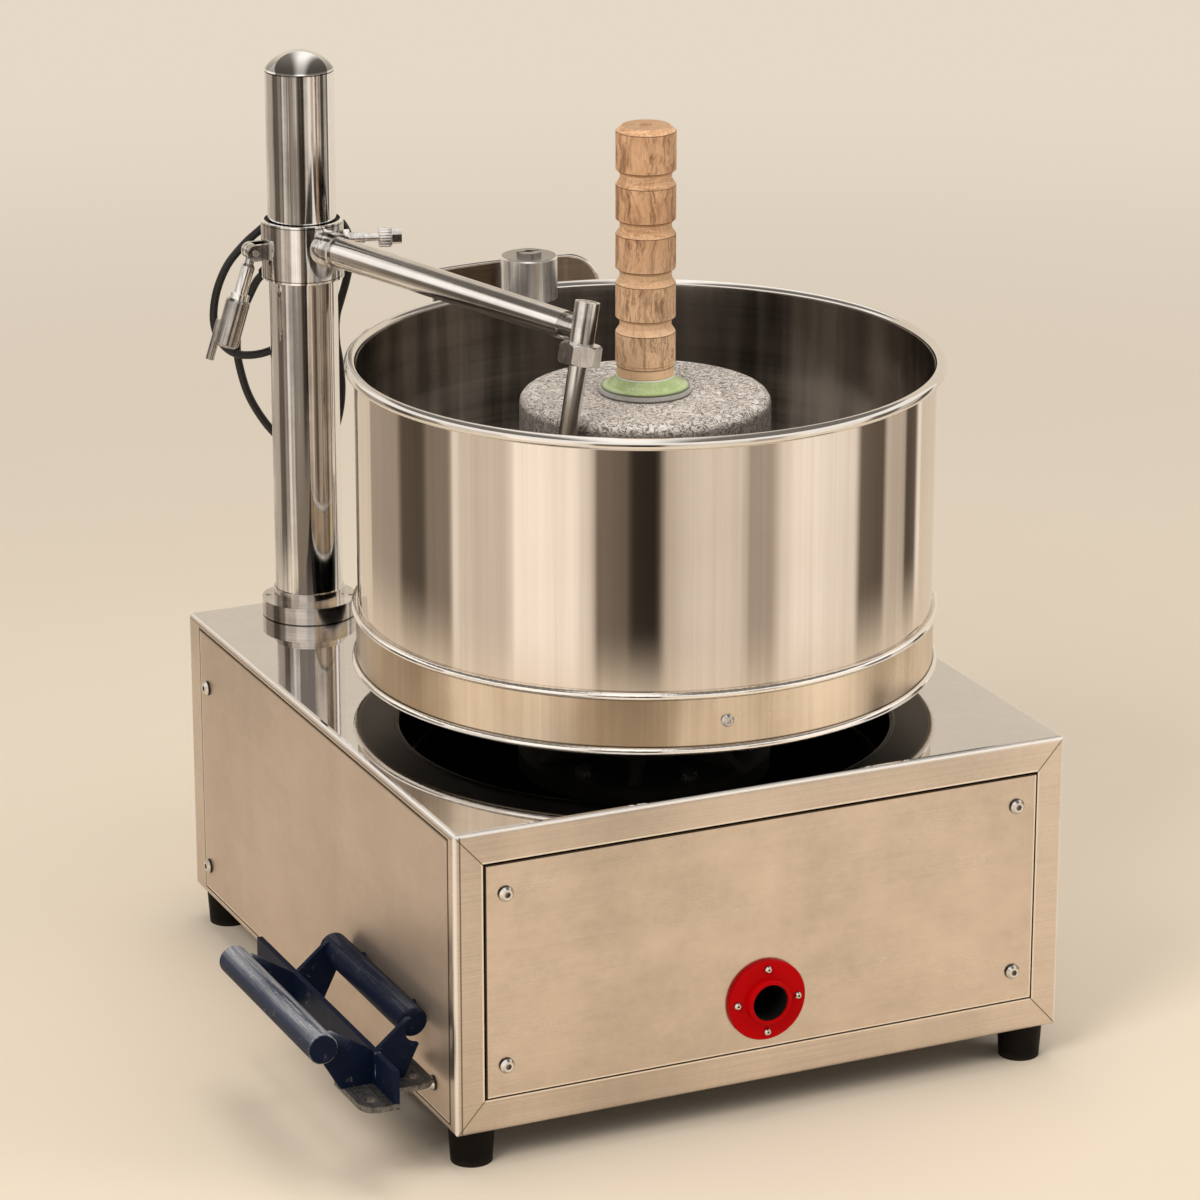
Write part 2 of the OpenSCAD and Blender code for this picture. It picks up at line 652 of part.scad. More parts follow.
module drum_rim() {
    color([0.88, 0.88, 0.87]) at_drum() difference() {
        rotate_extrude() translate([drum_r + rim_wire_r * 0.66, rim_z]) circle(r = rim_wire_r);
        ring(drum_r, drum_r - 20, rim_z - 20, 20);
    }
}
module drum_band() {
    color([0.78, 0.75, 0.7]) at_drum() difference() {
        union() {
            ring(drum_r + fit + 1.2, drum_r + fit, drum_z, band_h);
            for (z = [drum_z + bead1, drum_z + bead2]) rotate_extrude() intersection() {
                translate([drum_r + 1.3, z]) scale([1.2, 1]) circle(r = bead_r);
                translate([drum_r + fit, z - 10]) square([20, 20]);
            }
        }
        at_band_screws() translate([0, 0, -12]) cylinder(r = 2 + fit, h = 30);
    }
}
module at_band_screws() {
    for (a = [0:120:240]) rotate([0, 0, a - 99.3])
        translate([drum_r + fit + 1.2, 0, drum_z + (bead1 + bead2) / 2]) rotate([0, 90, 0]) children();
}
module band_screws() {
    color([0.85, 0.85, 0.85]) at_drum() at_band_screws() button_screw(band_screw_r, 2.6, 2, 6);
}
module drum_bottom() {
    color([0.7, 0.7, 0.68]) at_drum() difference() {
        union() {
            translate([0, 0, floor_z]) cylinder(r = skirt_r, h = floor_t);
            ring(skirt_r, skirt_r - 2, drum_z + drum_wall, floor_z - drum_z);
        }
        at_band_screws() translate([0, 0, -12]) cylinder(r = 2 + fit, h = 20);
        at_hub_bolts() translate([0, 0, floor_z - 1]) cylinder(r = 4 + fit, h = floor_t + 2);
    }
}
module base_stone() {
    color([0.5, 0.49, 0.47]) at_drum() union() {
        translate([0, 0, stone_z]) cylinder(r = skirt_r - 1.5, h = base_stone_h - 3);
        translate([0, 0, stone_z + base_stone_h - 3]) cylinder(r1 = skirt_r - 1.5, r2 = skirt_r - 4.5, h = 3);
    }
}
module at_hub_bolts() {
    for (a = [30:60:330]) rotate([0, 0, a]) translate([hub_disc_r - 18, 0, 0]) children();
}
module drive_hub() {
    color([0.3, 0.31, 0.32]) at_drum() difference() {
        union() {
            translate([0, 0, floor_z - 12]) cylinder(r = hub_disc_r, h = 12);
            translate([0, 0, hub_z]) cylinder(r = 32, h = floor_z - hub_z);
            for (a = [0:60:300]) rotate([0, 0, a]) translate([0, 4, 0]) rotate([90, 0, 0]) linear_extrude(8)
                polygon([[20, floor_z - 11], [hub_disc_r - 6, floor_z - 11],
                    [34, hub_z + 4], [20, hub_z + 4]]);
        }
        translate([0, 0, hub_z - 1]) cylinder(r = spindle_r + fit, h = floor_z);
        at_hub_bolts() translate([0, 0, floor_z - 13]) cylinder(r = 4 + fit, h = 14);
    }
}
module hub_bolts() {
    color([0.5, 0.5, 0.5]) at_drum() at_hub_bolts() union() {
        translate([0, 0, floor_z - 17]) cylinder(r = 7.2, h = 5, $fn = 6);
        translate([0, 0, floor_z - 12.1]) cylinder(r = 4, h = 12.1 + floor_t);
    }
}
module spindle() {
    z = pulley_z - 18;
    color([0.6, 0.6, 0.6]) at_drum() union() {
        translate([0, 0, z]) cylinder(r = spindle_r, h = floor_z - z);
        translate([0, 0, upper_z + bearing_h]) cylinder(r = spindle_r + 5, h = hub_z - upper_z - bearing_h);
    }
}
module drum_pulley() {
    color([0.35, 0.35, 0.36]) at_drum() difference() {
        rotate_extrude() polygon(concat([[spindle_r, pulley_z]], [[30, pulley_z], [30, pulley_z + 5]],
            [[pulley_r - 24, pulley_z + 5], [pulley_r - 24, pulley_z]], pulley_side(pulley_r),
            [[pulley_r - 24, pulley_z + pulley_h], [pulley_r - 24, pulley_z + 17], [30, pulley_z + 17]],
            [[24, lower_z - 0.3], [spindle_r, lower_z - 0.3]]));
        for (a = [0:60:300]) rotate([0, 0, a]) translate([(pulley_r + 6) / 2, 0, pulley_z])
            cylinder(r = 22, h = 30);
    }
}
module pulley_nut() {
    color([0.55, 0.55, 0.55]) at_drum() difference() {
        translate([0, 0, pulley_z - 14]) cylinder(r = 27, h = 14, $fn = 6);
        translate([0, 0, pulley_z - 15]) cylinder(r = spindle_r, h = 16);
    }
}
module roller_stone() {
    r = roller_round;
    color([0.56, 0.54, 0.51]) at_drum() translate([0, 0, roller_z]) difference() {
        rotate_extrude() union() {
            square([roller_r - r, roller_h]);
            polygon([[0, 0], [roller_r - 2, 0], [roller_r, 2], [roller_r, roller_h - r], [0, roller_h - r]]);
            translate([roller_r - r, roller_h - r]) intersection() {
                circle(r = r);
                square([r, r]);
            }
        }
        translate([0, 0, 20]) cylinder(r = 4 + fit, h = roller_h);
    }
}
module stone_ring() { color([0.62, 0.6, 0.58]) at_drum() ring(ring_r, 4 + fit, ring_z, ring_t); }
module green_washer() {
    r0 = ring_r - 1.2;
    r1 = wood_r - 0.4;
    color([0.66, 0.76, 0.48]) at_drum() translate([0, 0, flare_z]) rotate_extrude()
        polygon([[4 + fit, 0], [r0, 0], [r0, 0.8], [r0 - 0.45 * (r0 - r1), 0.26 * flare_h],
            [r1 + 0.28 * (r0 - r1), 0.52 * flare_h], [r1 + 0.5, 0.84 * flare_h],
            [r1, flare_h], [4 + fit, flare_h]]);
}
function groove(z) = [[wood_r, z - 11], [wood_r - 2.9, z - 6.6], [wood_r - 2.9, z - 2.4], [wood_r, z]];
module wood_handle() {
    top = wood_h;
    color([0.72, 0.5, 0.3]) at_drum() translate([0, 0, wood_z]) rotate_extrude() polygon(concat(
        [[4 + fit, 0], [wood_r - 1.6, 0], [wood_r - 1, 0.6], [wood_r - 1, 9], [wood_r, 9.6]],
        [for (i = [groove_n - 1:-1:0]) each groove(top - 30.7 - i * groove_pitch)],
        [[wood_r, top - 4], [wood_r - 4.6, top], [4 + fit, top]]));
}
module handle_rod() {
    color([0.5, 0.5, 0.5]) at_drum() translate([0, 0, roller_z + 20])
        cylinder(r = 4, h = wood_z + wood_h - roller_z - 26);
}
module sleeve_bush() {
    color([0.08, 0.08, 0.08]) at_column() union() {
        ring(bush_r, col_r + run, sleeve_z, sleeve_h - 2);
        ring(bush_r + 1, col_r + run, sleeve_z, 2.9);
    }
}
module arm_sleeve() {
    color([0.8, 0.8, 0.8]) union() {
        difference() {
            union() {
                at_column() translate([0, 0, sleeve_z]) cylinder(r = sleeve_r, h = sleeve_h);
                along_arm() rotate([0, 90, 0]) cylinder(r = arm_r1 + 2.2, h = boss_l - 1);
                along_arm() translate([boss_l - 1, 0, 0]) rotate([0, 90, 0])
                    cylinder(r1 = arm_r1 + 2.2, r2 = arm_r1 + 1.2, h = 1);
                at_clamp() cylinder(r = 6.5, h = sleeve_r + 4);
                for (y = [4.3, -7.3]) at_hinge() translate([0, y + 3, 0]) rotate([90, 0, 0]) linear_extrude(3)
                    polygon(concat([[hinge_out + 4, 6]], arc(0, 0, 6, 90, 270, 8), [[hinge_out + 4, -6]]));
                at_column() rotate([0, 0, cord_turn]) translate([0, sleeve_r - 1.5, arm_z + 6.4])
                    rotate([-90, 0, 0]) cylinder(r = 3, h = hook_out - sleeve_r);
                at_column() rotate([0, 0, cord_turn]) translate([0, hook_out - 2, arm_z + 6.4])
                    rotate([-90, 0, 0]) cylinder(r = hook_head_r, h = 2);
            }
            at_column() translate([0, 0, sleeve_z - 1]) cylinder(r = sleeve_in, h = sleeve_h + 2);
            at_column() translate([0, 0, sleeve_z - 1]) cylinder(r = bush_r + 1 + fit, h = 4);
            along_arm() translate([sleeve_r + 2, 0, 0]) rotate([0, 90, 0]) cylinder(r = 8 + run, h = boss_l);
            at_clamp() cylinder(r = 3 + run, h = sleeve_r + 10);
            at_hinge() translate([0, 10, 0]) rotate([90, 0, 0]) cylinder(r = 2.4 + run, h = 20);
        }
    }
}
module arm_tube() {
    l = arm_len - spigot_l - boss_l;
    color([0.82, 0.82, 0.82]) along_arm() rotate([0, 90, 0]) difference() {
        union() {
            translate([0, 0, boss_l]) cylinder(r1 = arm_r1, r2 = arm_r2, h = l);
            translate([0, 0, sleeve_r + 3]) cylinder(r = 8, h = boss_l - sleeve_r);
        }
        translate([0, 0, boss_l + l - 15]) cylinder(r = spigot_r + run, h = 16);
    }
}
module arm_socket() {
    color([0.8, 0.8, 0.8]) difference() {
        union() {
            along_arm() translate([arm_len - spigot_l - 14, 0, 0]) rotate([0, 90, 0])
                cylinder(r = spigot_r, h = spigot_l + 14);
            at_socket() translate([0, 0, -14.7]) cylinder(r = socket_r, h = 34.7);
        }
        at_socket() translate([0, 0, -20]) cylinder(r = rod_r + run, h = 50);
    }
}
module lever_pin() {
    color([0.6, 0.6, 0.6]) at_hinge() translate([0, 8.2, 0]) rotate([90, 0, 0]) cylinder(r = 2.4, h = 16.4);
}
module hang() { at_hinge() rotate([0, lever_lean, 0]) children(); }
module lock_lever() {
    color([0.8, 0.8, 0.8]) difference() {
        hang() union() {
            translate([0, 4, 0]) rotate([90, 0, 0]) cylinder(r = 5.6, h = 8);
            rotate_extrude() polygon([[0, -1], [3.4, -1], [3.4, -9], [5, -11], [5, 4 - stem_l],
                [7, 4 - stem_l], [7, -stem_l], [4, -stem_l],
                [4, 4 - stem_l - grip_l], [0, 4 - stem_l - grip_l]]);
        }
        at_hinge() translate([0, 10, 0]) rotate([90, 0, 0]) cylinder(r = 2.4 + run, h = 20);
    }
}
module lever_grip() {
    color([0.82, 0.82, 0.82]) hang() difference() {
        union() {
            translate([0, 0, -stem_l - grip_l + 2]) cylinder(r = grip_r, h = grip_l - 4);
            translate([0, 0, -stem_l - 2]) cylinder(r1 = grip_r, r2 = grip_r - 2, h = 2);
            translate([0, 0, -stem_l - grip_l]) cylinder(r1 = grip_r - 2, r2 = grip_r, h = 2);
            translate([-6, 8, -stem_l - grip_l - 13]) cylinder(r = 3.1, h = 30);
        }
        translate([0, 0, -stem_l - grip_l + 3]) cylinder(r = 4 + run, h = grip_l);
    }
}
module clamp_screw() {
    neck = clamp_reach - 17;
    head = 10;
    color([0.78, 0.78, 0.78]) at_clamp() union() {
        translate([0, 0, sleeve_in + 0.5]) cylinder(r = 3, h = neck - sleeve_in);
        translate([0, 0, sleeve_r + 4.3]) cylinder(r = 4.2, h = 11);
        translate([0, 0, neck]) difference() {
            rotate_extrude() polygon([[0, 0], [clamp_head_r - 1, 0], [clamp_head_r, 1],
                [clamp_head_r, head - 1], [clamp_head_r - 1, head], [0, head]]);
            for (i = [0:knurl_n - 1]) rotate([0, 0, i * 360 / knurl_n]) translate([clamp_head_r + 0.3, 0, -1])
                cylinder(r = 0.8, h = head + 2);
        }
        translate([0, 0, neck + head - 0.1]) cylinder(r = clamp_head_r - 1.8, h = 7.1, $fn = 6);
    }
}
module socket_nut() {
    color([0.8, 0.8, 0.8]) at_socket() difference() {
        intersection() {
            translate([0, 0, -23]) cylinder(r = nut_r, h = 14, $fn = 6);
            translate([0, 0, -23]) rotate_extrude() polygon([[0, 0], [nut_r - 1.8, 0], [nut_r, 1.4],
                [nut_r, 12.6], [nut_r - 1.8, 14], [0, 14]]);
        }
        translate([0, 0, -15]) cylinder(r = socket_r + run, h = 10);
        translate([0, 0, -24]) cylinder(r = rod_r + run, h = 20);
    }
}
module scraper_rod() {
    color([0.72, 0.71, 0.69]) at_socket() translate([0, 0, -rod_down])
        cylinder(r = rod_r, h = rod_down + rod_up);
}
module scraper_blade() {
    color([0.7, 0.7, 0.7]) at_socket() difference() {
        translate([0, 0, -rod_down - 5]) linear_extrude(blade_l) polygon([[-3, -22], [3, -22], [3, -9],
            [9, -4], [9, 4], [4, 9], [-4, 9], [-9, 4], [-9, -4], [-3, -9]]);
        translate([0, 0, -rod_down]) cylinder(r = rod_r, h = rod_down);
    }
}
function cross3(a, b) = [a[1] * b[2] - a[2] * b[1], a[2] * b[0] - a[0] * b[2], a[0] * b[1] - a[1] * b[0]];
function unit(v) = v / norm(v);
function pick(i) = route[max(0, min(len(route) - 1, i))];
function spline(i, t) = 0.5 * ((2 * pick(i)) + (pick(i + 1) - pick(i - 1)) * t
    + (2 * pick(i - 1) - 5 * pick(i) + 4 * pick(i + 1) - pick(i + 2)) * t * t
    + (3 * pick(i) - pick(i - 1) - 3 * pick(i + 1) + pick(i + 2)) * t * t * t);
cord_path = concat([for (i = [0:len(route) - 2], k = [0:cord_steps - 1]) spline(i, k / cord_steps)],
    [pick(len(route) - 1)]);
cord_n = len(cord_path);
function heading(i) = unit(cord_path[min(cord_n - 1, i + 1)] - cord_path[max(0, i - 1)]);
function side_of(i) = unit([0, 1, 0] - heading(i) * heading(i)[1]);
function cord_ring(i) = [for (k = [0:cord_sides - 1]) let (a = 360 * k / cord_sides)
    cord_path[i] + cord_r * (cos(a) * side_of(i) + sin(a) * cross3(heading(i), side_of(i)))];
module cord() {
    color([0.05, 0.05, 0.05]) at_column() translate([0, 0, arm_z]) rotate([0, 0, cord_turn]) polyhedron(
        points = [for (i = [0:cord_n - 1]) each cord_ring(i)],
        faces = concat([[for (k = [0:cord_sides - 1]) cord_sides - 1 - k]],
            [for (i = [0:cord_n - 2], k = [0:cord_sides - 1])
                [i * cord_sides + k, i * cord_sides + (k + 1) % cord_sides,
                (i + 1) * cord_sides + (k + 1) % cord_sides, (i + 1) * cord_sides + k]],
            [[for (k = [0:cord_sides - 1]) (cord_n - 1) * cord_sides + k]]));
}
module gland(p, v) {
    d = unit(v);
    translate(p) rotate([0, acos(d[2]), atan2(d[1], d[0])]) translate([0, 0, -22]) cylinder(r = 4.6, h = 22);
}
module cord_glands() {
    color([0.06, 0.06, 0.06]) difference() {
        at_column() translate([0, 0, arm_z]) rotate([0, 0, cord_turn]) {
            gland(cord_path[0], heading(0));
            gland(cord_path[cord_n - 1], -heading(cord_n - 1));
        }
        at_column() translate([0, 0, sleeve_z - 40]) cylinder(r = sleeve_r, h = sleeve_h + 80);
    }
}

base_shell();
front_panel();
left_panel();
chassis_plate();
rubber_feet();
foot_screws();
panel_screws();
left_screws();
port_flange();
port_bush();
port_screws();
column();
column_cap();
column_flange();
column_backplate();
flange_screws();
rear_post();
post_nut();
guard_plate();
handle_frame();
handle_grips();
handle_studs();
bearing_housing();
upper_bearing();
lower_bearing();
motor_bracket();
motor_body();
motor_cap();
motor_shaft();
motor_pulley();
drive_belt();
drum_shell();
drum_rim();
drum_band();
band_screws();
drum_bottom();
base_stone();
drive_hub();
hub_bolts();
spindle();
drum_pulley();
pulley_nut();
roller_stone();
stone_ring();
green_washer();
wood_handle();
handle_rod();
sleeve_bush();
arm_sleeve();
arm_tube();
arm_socket();
lever_pin();
cord_glands();
cord();
lock_lever();
lever_grip();
clamp_screw();
socket_nut();
scraper_rod();
scraper_blade();
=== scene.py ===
import math

import bpy
import numpy as np
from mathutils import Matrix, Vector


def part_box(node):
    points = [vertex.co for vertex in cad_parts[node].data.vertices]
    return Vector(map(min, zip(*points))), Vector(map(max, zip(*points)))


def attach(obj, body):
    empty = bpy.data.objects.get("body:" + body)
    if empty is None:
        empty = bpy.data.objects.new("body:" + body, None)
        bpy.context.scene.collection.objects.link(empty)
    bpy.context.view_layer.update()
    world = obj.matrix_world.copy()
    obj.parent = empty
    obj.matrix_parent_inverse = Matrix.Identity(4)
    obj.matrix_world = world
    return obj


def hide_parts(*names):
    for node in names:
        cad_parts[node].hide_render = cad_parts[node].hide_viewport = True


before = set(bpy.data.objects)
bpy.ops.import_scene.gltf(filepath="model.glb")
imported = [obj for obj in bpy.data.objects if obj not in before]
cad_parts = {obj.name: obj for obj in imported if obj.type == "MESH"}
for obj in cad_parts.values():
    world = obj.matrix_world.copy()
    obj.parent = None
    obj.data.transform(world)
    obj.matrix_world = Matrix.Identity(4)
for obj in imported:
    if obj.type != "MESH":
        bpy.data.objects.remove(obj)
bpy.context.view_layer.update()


# Cabinet shell.
# A box bent from stainless sheet, folded at every edge and mitred at the corners of its front frame.
# The top is polished to a mirror, the sides keep a fine level grain from the belt grinder.
class Field:
    """One socket of a material. Arithmetic on it lays down Math nodes; make() lays down any other node."""

    def __init__(self, tree, socket):
        self.tree, self.socket = tree, socket

    def make(self, kind, settings, sockets, out=0):
        """Lays down a node with these settings, fills or links its sockets and returns one output."""
        node = self.tree.nodes.new(kind)
        for key, value in settings.items():
            if key == "stops":
                ramp = node.color_ramp.elements
                while len(ramp) < len(value):
                    ramp.new(1.0)
                for stop, (place, colour) in zip(ramp, value):
                    stop.position, stop.color = place, (*colour, 1.0)
            else:
                setattr(node, key, value)
        for key, value in sockets.items():
            if isinstance(value, Field):
                self.tree.links.new(value.socket, node.inputs[key])
            else:
                node.inputs[key].default_value = value
        return Field(self.tree, node.outputs[out])

    def math(self, operation, a, b=0.0):
        """One Math node on a and b."""
        return self.make("ShaderNodeMath", {"operation": operation}, {0: a, 1: b})

    def __add__(self, other):
        return self.math("ADD", self, other)

    __radd__ = __add__

    def __sub__(self, other):
        return self.math("SUBTRACT", self, other)

    def __rsub__(self, other):
        return self.math("SUBTRACT", other, self)

    def __mul__(self, other):
        return self.math("MULTIPLY", self, other)

    __rmul__ = __mul__

    def __truediv__(self, other):
        return self.math("DIVIDE", self, other)

    def __rtruediv__(self, other):
        return self.math("DIVIDE", other, self)

    def __abs__(self):
        return self.math("ABSOLUTE", self)

    def least(self, other):
        """The smaller of the two."""
        return self.math("MINIMUM", self, other)

    def most(self, other):
        """The larger of the two."""
        return self.math("MAXIMUM", self, other)

    def sine(self):
        """Its sine, as an angle in radians."""
        return self.math("SINE", self)

    def root(self):
        """Its square root."""
        return self.math("SQRT", self)

    def rise(self, low, high):
        """0 below low, 1 above high, a smooth step between."""
        return self.make("ShaderNodeMapRange", {"interpolation_type": "SMOOTHSTEP"},
                         {"Value": self, "From Min": low, "From Max": high})

    def axis(self, index):
        """The x, y or z of these coordinates, for 0, 1 or 2."""
        return self.make("ShaderNodeSeparateXYZ", {}, {0: self}, index)

    def stretched(self, scale, turn=(0, 0, 0)):
        """These coordinates turned, after each axis is scaled; a high scale packs a pattern tighter."""
        return self.make("ShaderNodeMapping", {}, {"Vector": self, "Rotation": turn, "Scale": scale})

    def noise(self, scale, detail=2.0, rough=0.5, twist=0.0):
        """A cloudy pattern about 0.5: scale packs it tighter, detail and rough add finer octaves."""
        return self.make("ShaderNodeTexNoise", {}, {"Vector": self, "Scale": scale, "Detail": detail,
                                                    "Roughness": rough, "Distortion": twist})

    def warped(self, scale, amount):
        """These coordinates pushed about by a coloured noise."""
        swirl = self.make("ShaderNodeTexNoise", {}, {"Vector": self, "Scale": scale, "Detail": 2.0}, 1)
        return self.make("ShaderNodeVectorMath", {"operation": "MULTIPLY_ADD"},
                         {0: swirl, 1: (amount,) * 3, 2: self})

    def tint(self, low, high):
        """Mixes colour low (at 0) into colour high (at 1)."""
        return self.make("ShaderNodeMix", {"data_type": "RGBA"},
                         {0: self, 6: low if isinstance(low, Field) else (*low, 1.0),
                          7: high if isinstance(high, Field) else (*high, 1.0)}, 2)

    def ramp(self, stops):
        """A colour for each value, from stops of a place and a colour."""
        return self.make("ShaderNodeValToRGB", {"stops": stops}, {0: self})

    def relief(self, strength, depth):
        """A normal that follows this as a height, depth metres from 0 to 1."""
        return self.make("ShaderNodeBump", {}, {"Height": self, "Strength": strength, "Distance": depth})

    def to(self, shader, socket):
        """Feeds this into a socket of the shader."""
        self.tree.links.new(self.socket, shader.inputs[socket])


def surface(name, metallic=0.0, roughness=0.5, coat=0.0, specular=0.5):
    """A new material: returns it, its shader, and the Object coordinates as a Field."""
    material = bpy.data.materials.new(name)
    material.use_nodes = True
    shader = material.node_tree.nodes["Principled BSDF"]
    shader.inputs["Metallic"].default_value = metallic
    shader.inputs["Roughness"].default_value = roughness
    shader.inputs["Coat Weight"].default_value = coat
    shader.inputs["Coat Roughness"].default_value = 0.06
    shader.inputs["Specular IOR Level"].default_value = specular
    blank = Field(material.node_tree, None)
    return material, shader, blank.make("ShaderNodeTexCoord", {}, {}, "Object")


def dress(material, *nodes):
    """Gives CAD nodes this material in every slot they have."""
    for name in nodes:
        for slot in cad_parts[name].material_slots:
            slot.material = material


shell_low, shell_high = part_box("base_shell")
window_low, window_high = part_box("front_panel")
shell_steel, shader, here = surface("mirror_top_satin_sides", metallic=1.0)
x, y, z = here.axis(0), here.axis(1), here.axis(2)
sheet_t, fold_w, shadow_band_in = 0.0012, 0.0022, 0.0046
fold_highlight, shadow_line, inside_shade = (0.93, 0.89, 0.84), (0.10, 0.075, 0.055), (0.035, 0.028, 0.022)
on_top = z.rise(shell_high.z - fold_w, shell_high.z - sheet_t / 2)
behind = (x - shell_low.x).least(shell_high.x - x).least(y - shell_low.y).least(shell_high.y - y)
behind = behind.least(shell_high.z - z).rise(sheet_t, sheet_t + 0.0008)
grain = here.stretched((5, 5, 1500)).noise(1.0, 2.0, 0.6)
cloud = here.noise(6.0, 4.0, 0.6)
scuff = here.stretched((30, 30, 30), turn=(0, 0, 0.5)).noise(3.0, 6.0, 0.7)
half_w, half_h = (shell_high.x - shell_low.x) / 2, (shell_high.z - shell_low.z) / 2
from_side = half_w - abs(x - (shell_low.x + half_w))
from_end = half_h - abs(z - (shell_low.z + half_h))
frame_w = window_low.x - shell_low.x
frame_h = half_h - (window_high.z - window_low.z) / 2
mitre = 1 - abs(from_side * (frame_h / frame_w) - from_end).rise(0.0002, 0.0009)
mitre = mitre * (1 - from_side.rise(frame_w - 0.001, frame_w))
mitre = mitre * (1 - y.rise(shell_low.y + 0.001, shell_low.y + 0.003))
# A painted highlight runs round the edge of the front window.
window_edge_highlight = abs(x - (window_low.x + window_high.x) / 2) - (window_high.x - window_low.x) / 2
window_edge_highlight = window_edge_highlight.most(abs(z - (window_low.z + window_high.z) / 2) - (window_high.z - window_low.z) / 2)
window_edge_highlight = (1 - window_edge_highlight.rise(0.0018, 0.0028)) * (1 - y.rise(shell_low.y + 0.0003, shell_low.y + 0.0010))
band = here.stretched((9, 9, 1.0)).noise(1.0, 3.0, 0.5)
mottle = here.noise(230.0, 4.0, 0.7)
side_colour = (cloud * 0.32 + band * 0.36 + grain * 0.22 + mottle * 0.10).rise(0.32, 0.68)
side_colour = side_colour.tint((0.50, 0.428, 0.364), (0.82, 0.705, 0.605))
side_colour = window_edge_highlight.tint(side_colour, (0.92, 0.84, 0.74))
in_x = (x - shell_low.x).least(shell_high.x - x)
in_y, in_z = y - shell_low.y, shell_high.z - z
# The folds get a painted highlight, and a painted shadow line runs down the front beside the left fold.
fold = 1 - (in_x + in_y).least(in_x + in_z).least(in_y + in_z).rise(fold_w, fold_w + 0.0010)
shadow_band = (1 - abs(x - shell_low.x - shadow_band_in).rise(0.0003, 0.0008)) * (1 - in_y.rise(0.0004, 0.0010))
top_colour = (cloud * 0.6 + scuff * 0.4).tint((0.58, 0.56, 0.545), (0.84, 0.825, 0.815))
colour = mitre.tint(on_top.tint(side_colour, top_colour), (0.16, 0.12, 0.09))
colour = (shadow_band * 0.8).tint(fold.tint(colour, fold_highlight), shadow_line)
# The inside faces of the sheet are painted dark as shade.
behind.tint(colour, inside_shade).to(shader, "Base Color")
side_rough = 0.24 + 0.12 * cloud + 0.06 * grain
top_rough = 0.03 + 0.05 * scuff.rise(0.52, 0.8)
flat_rough = side_rough * (1 - on_top) + top_rough * on_top
(flat_rough * (1 - fold) + 0.28 * fold).to(shader, "Roughness")
(1 - 0.55 * fold).to(shader, "Metallic")
((grain - 0.5) * (1 - on_top) * 0.2 - mitre * 3.0).relief(0.2, 0.0001).to(shader, "Normal")
dress(shell_steel, "base_shell")


# Front and left panels.
# Flat stainless sheets set into the shell, satin ground along their length.
# Each one lies on a ledge behind its opening and is held by socket button screws.
for name, along, sheen, haze, gap_shade, dull, bright in (
        ("front_panel", 0, 1.0, 0.16, (0.05, 0.036, 0.026), (0.49, 0.415, 0.350), (0.82, 0.700, 0.595)),
        ("left_panel", 1, 0.80, 0.34, (0.22, 0.165, 0.125), (0.52, 0.425, 0.345), (0.72, 0.595, 0.490))):
    panel_low, panel_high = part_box(name)
    panel_steel, shader, here = surface("ground_" + name, metallic=sheen)
    grain = here.stretched((4, 4, 1800)).noise(1.0, 3.0, 0.6)
    cloud = here.noise(4.5, 5.0, 0.62)
    blot = here.stretched((16, 16, 26)).noise(1.0, 5.0, 0.68)
    band = here.stretched((11, 11, 1.2)).noise(1.0, 3.0, 0.5, 0.4)
    mottle = here.noise(150.0, 5.0, 0.72)
    smear = here.stretched((2.5, 2.5, 9)).noise(3.0, 4.0, 0.6)
    place, height = here.axis(along), here.axis(2)
    # One edge and the top of each panel are painted dark as shade; the other edge and the foot get a painted
    # highlight.
    sunk_shade = (place - panel_low[along]).least(panel_high.z - height)
    proud_highlight = (panel_high[along] - place).least(height - panel_low.z)
    colour = (cloud * 0.22 + blot * 0.25 + band * 0.27 + grain * 0.14 + mottle * 0.12).rise(0.29, 0.71)
    colour = (1 - proud_highlight.rise(0.0006, 0.0014)).tint(colour.tint(dull, bright), (0.90, 0.82, 0.72))
    (1 - sunk_shade.rise(0.0009, 0.0015)).tint(colour, gap_shade).to(shader, "Base Color")
    (haze + 0.15 * smear + 0.05 * grain).to(shader, "Roughness")
    (grain * 0.5 + mottle * 0.5).relief(0.07, 0.0001).to(shader, "Normal")
    dress(panel_steel, name)


# Screws and plain steel hardware.
# Turned stainless button heads with a hexagon socket, zinc plated bolts inside.
# The sockets and the foot of each head are painted dark as shade.
socket_shade = (0.07, 0.058, 0.048)
for name, facing, head_h in (
        ("panel_screws", 1, 0.0019), ("left_screws", 0, 0.0019), ("port_screws", 1, 0.0009)):
    head_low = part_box(name)[0]
    head_steel, shader, here = surface("turned_" + name, metallic=1.0)
    sunk_shade = (here.axis(facing) - head_low[facing]).rise(head_h - 0.0002, head_h + 0.0002)
    fleck = here.noise(900.0, 2.0)
    colour = here.noise(300.0, 3.0).tint((0.62, 0.60, 0.575), (0.86, 0.84, 0.815))
    sunk_shade.tint(colour, socket_shade).to(shader, "Base Color")
    (0.14 + 0.14 * fleck).to(shader, "Roughness")
    fleck.relief(0.08, 0.00008).to(shader, "Normal")
    dress(head_steel, name)

screw_steel, shader, here = surface("zinc_bolt_steel", metallic=1.0)
fleck = here.noise(900.0, 2.0)
cloud = here.noise(60.0, 3.0)
cloud.tint((0.52, 0.50, 0.48), (0.72, 0.70, 0.68)).to(shader, "Base Color")
(0.16 + 0.22 * fleck).to(shader, "Roughness")
fleck.relief(0.15, 0.00008).to(shader, "Normal")
dress(screw_steel, "flange_screws", "band_screws", "foot_screws", "chassis_plate", "column_backplate",
      "upper_bearing", "lower_bearing", "motor_shaft", "hub_bolts", "spindle", "pulley_nut", "handle_rod",
      "lever_pin")


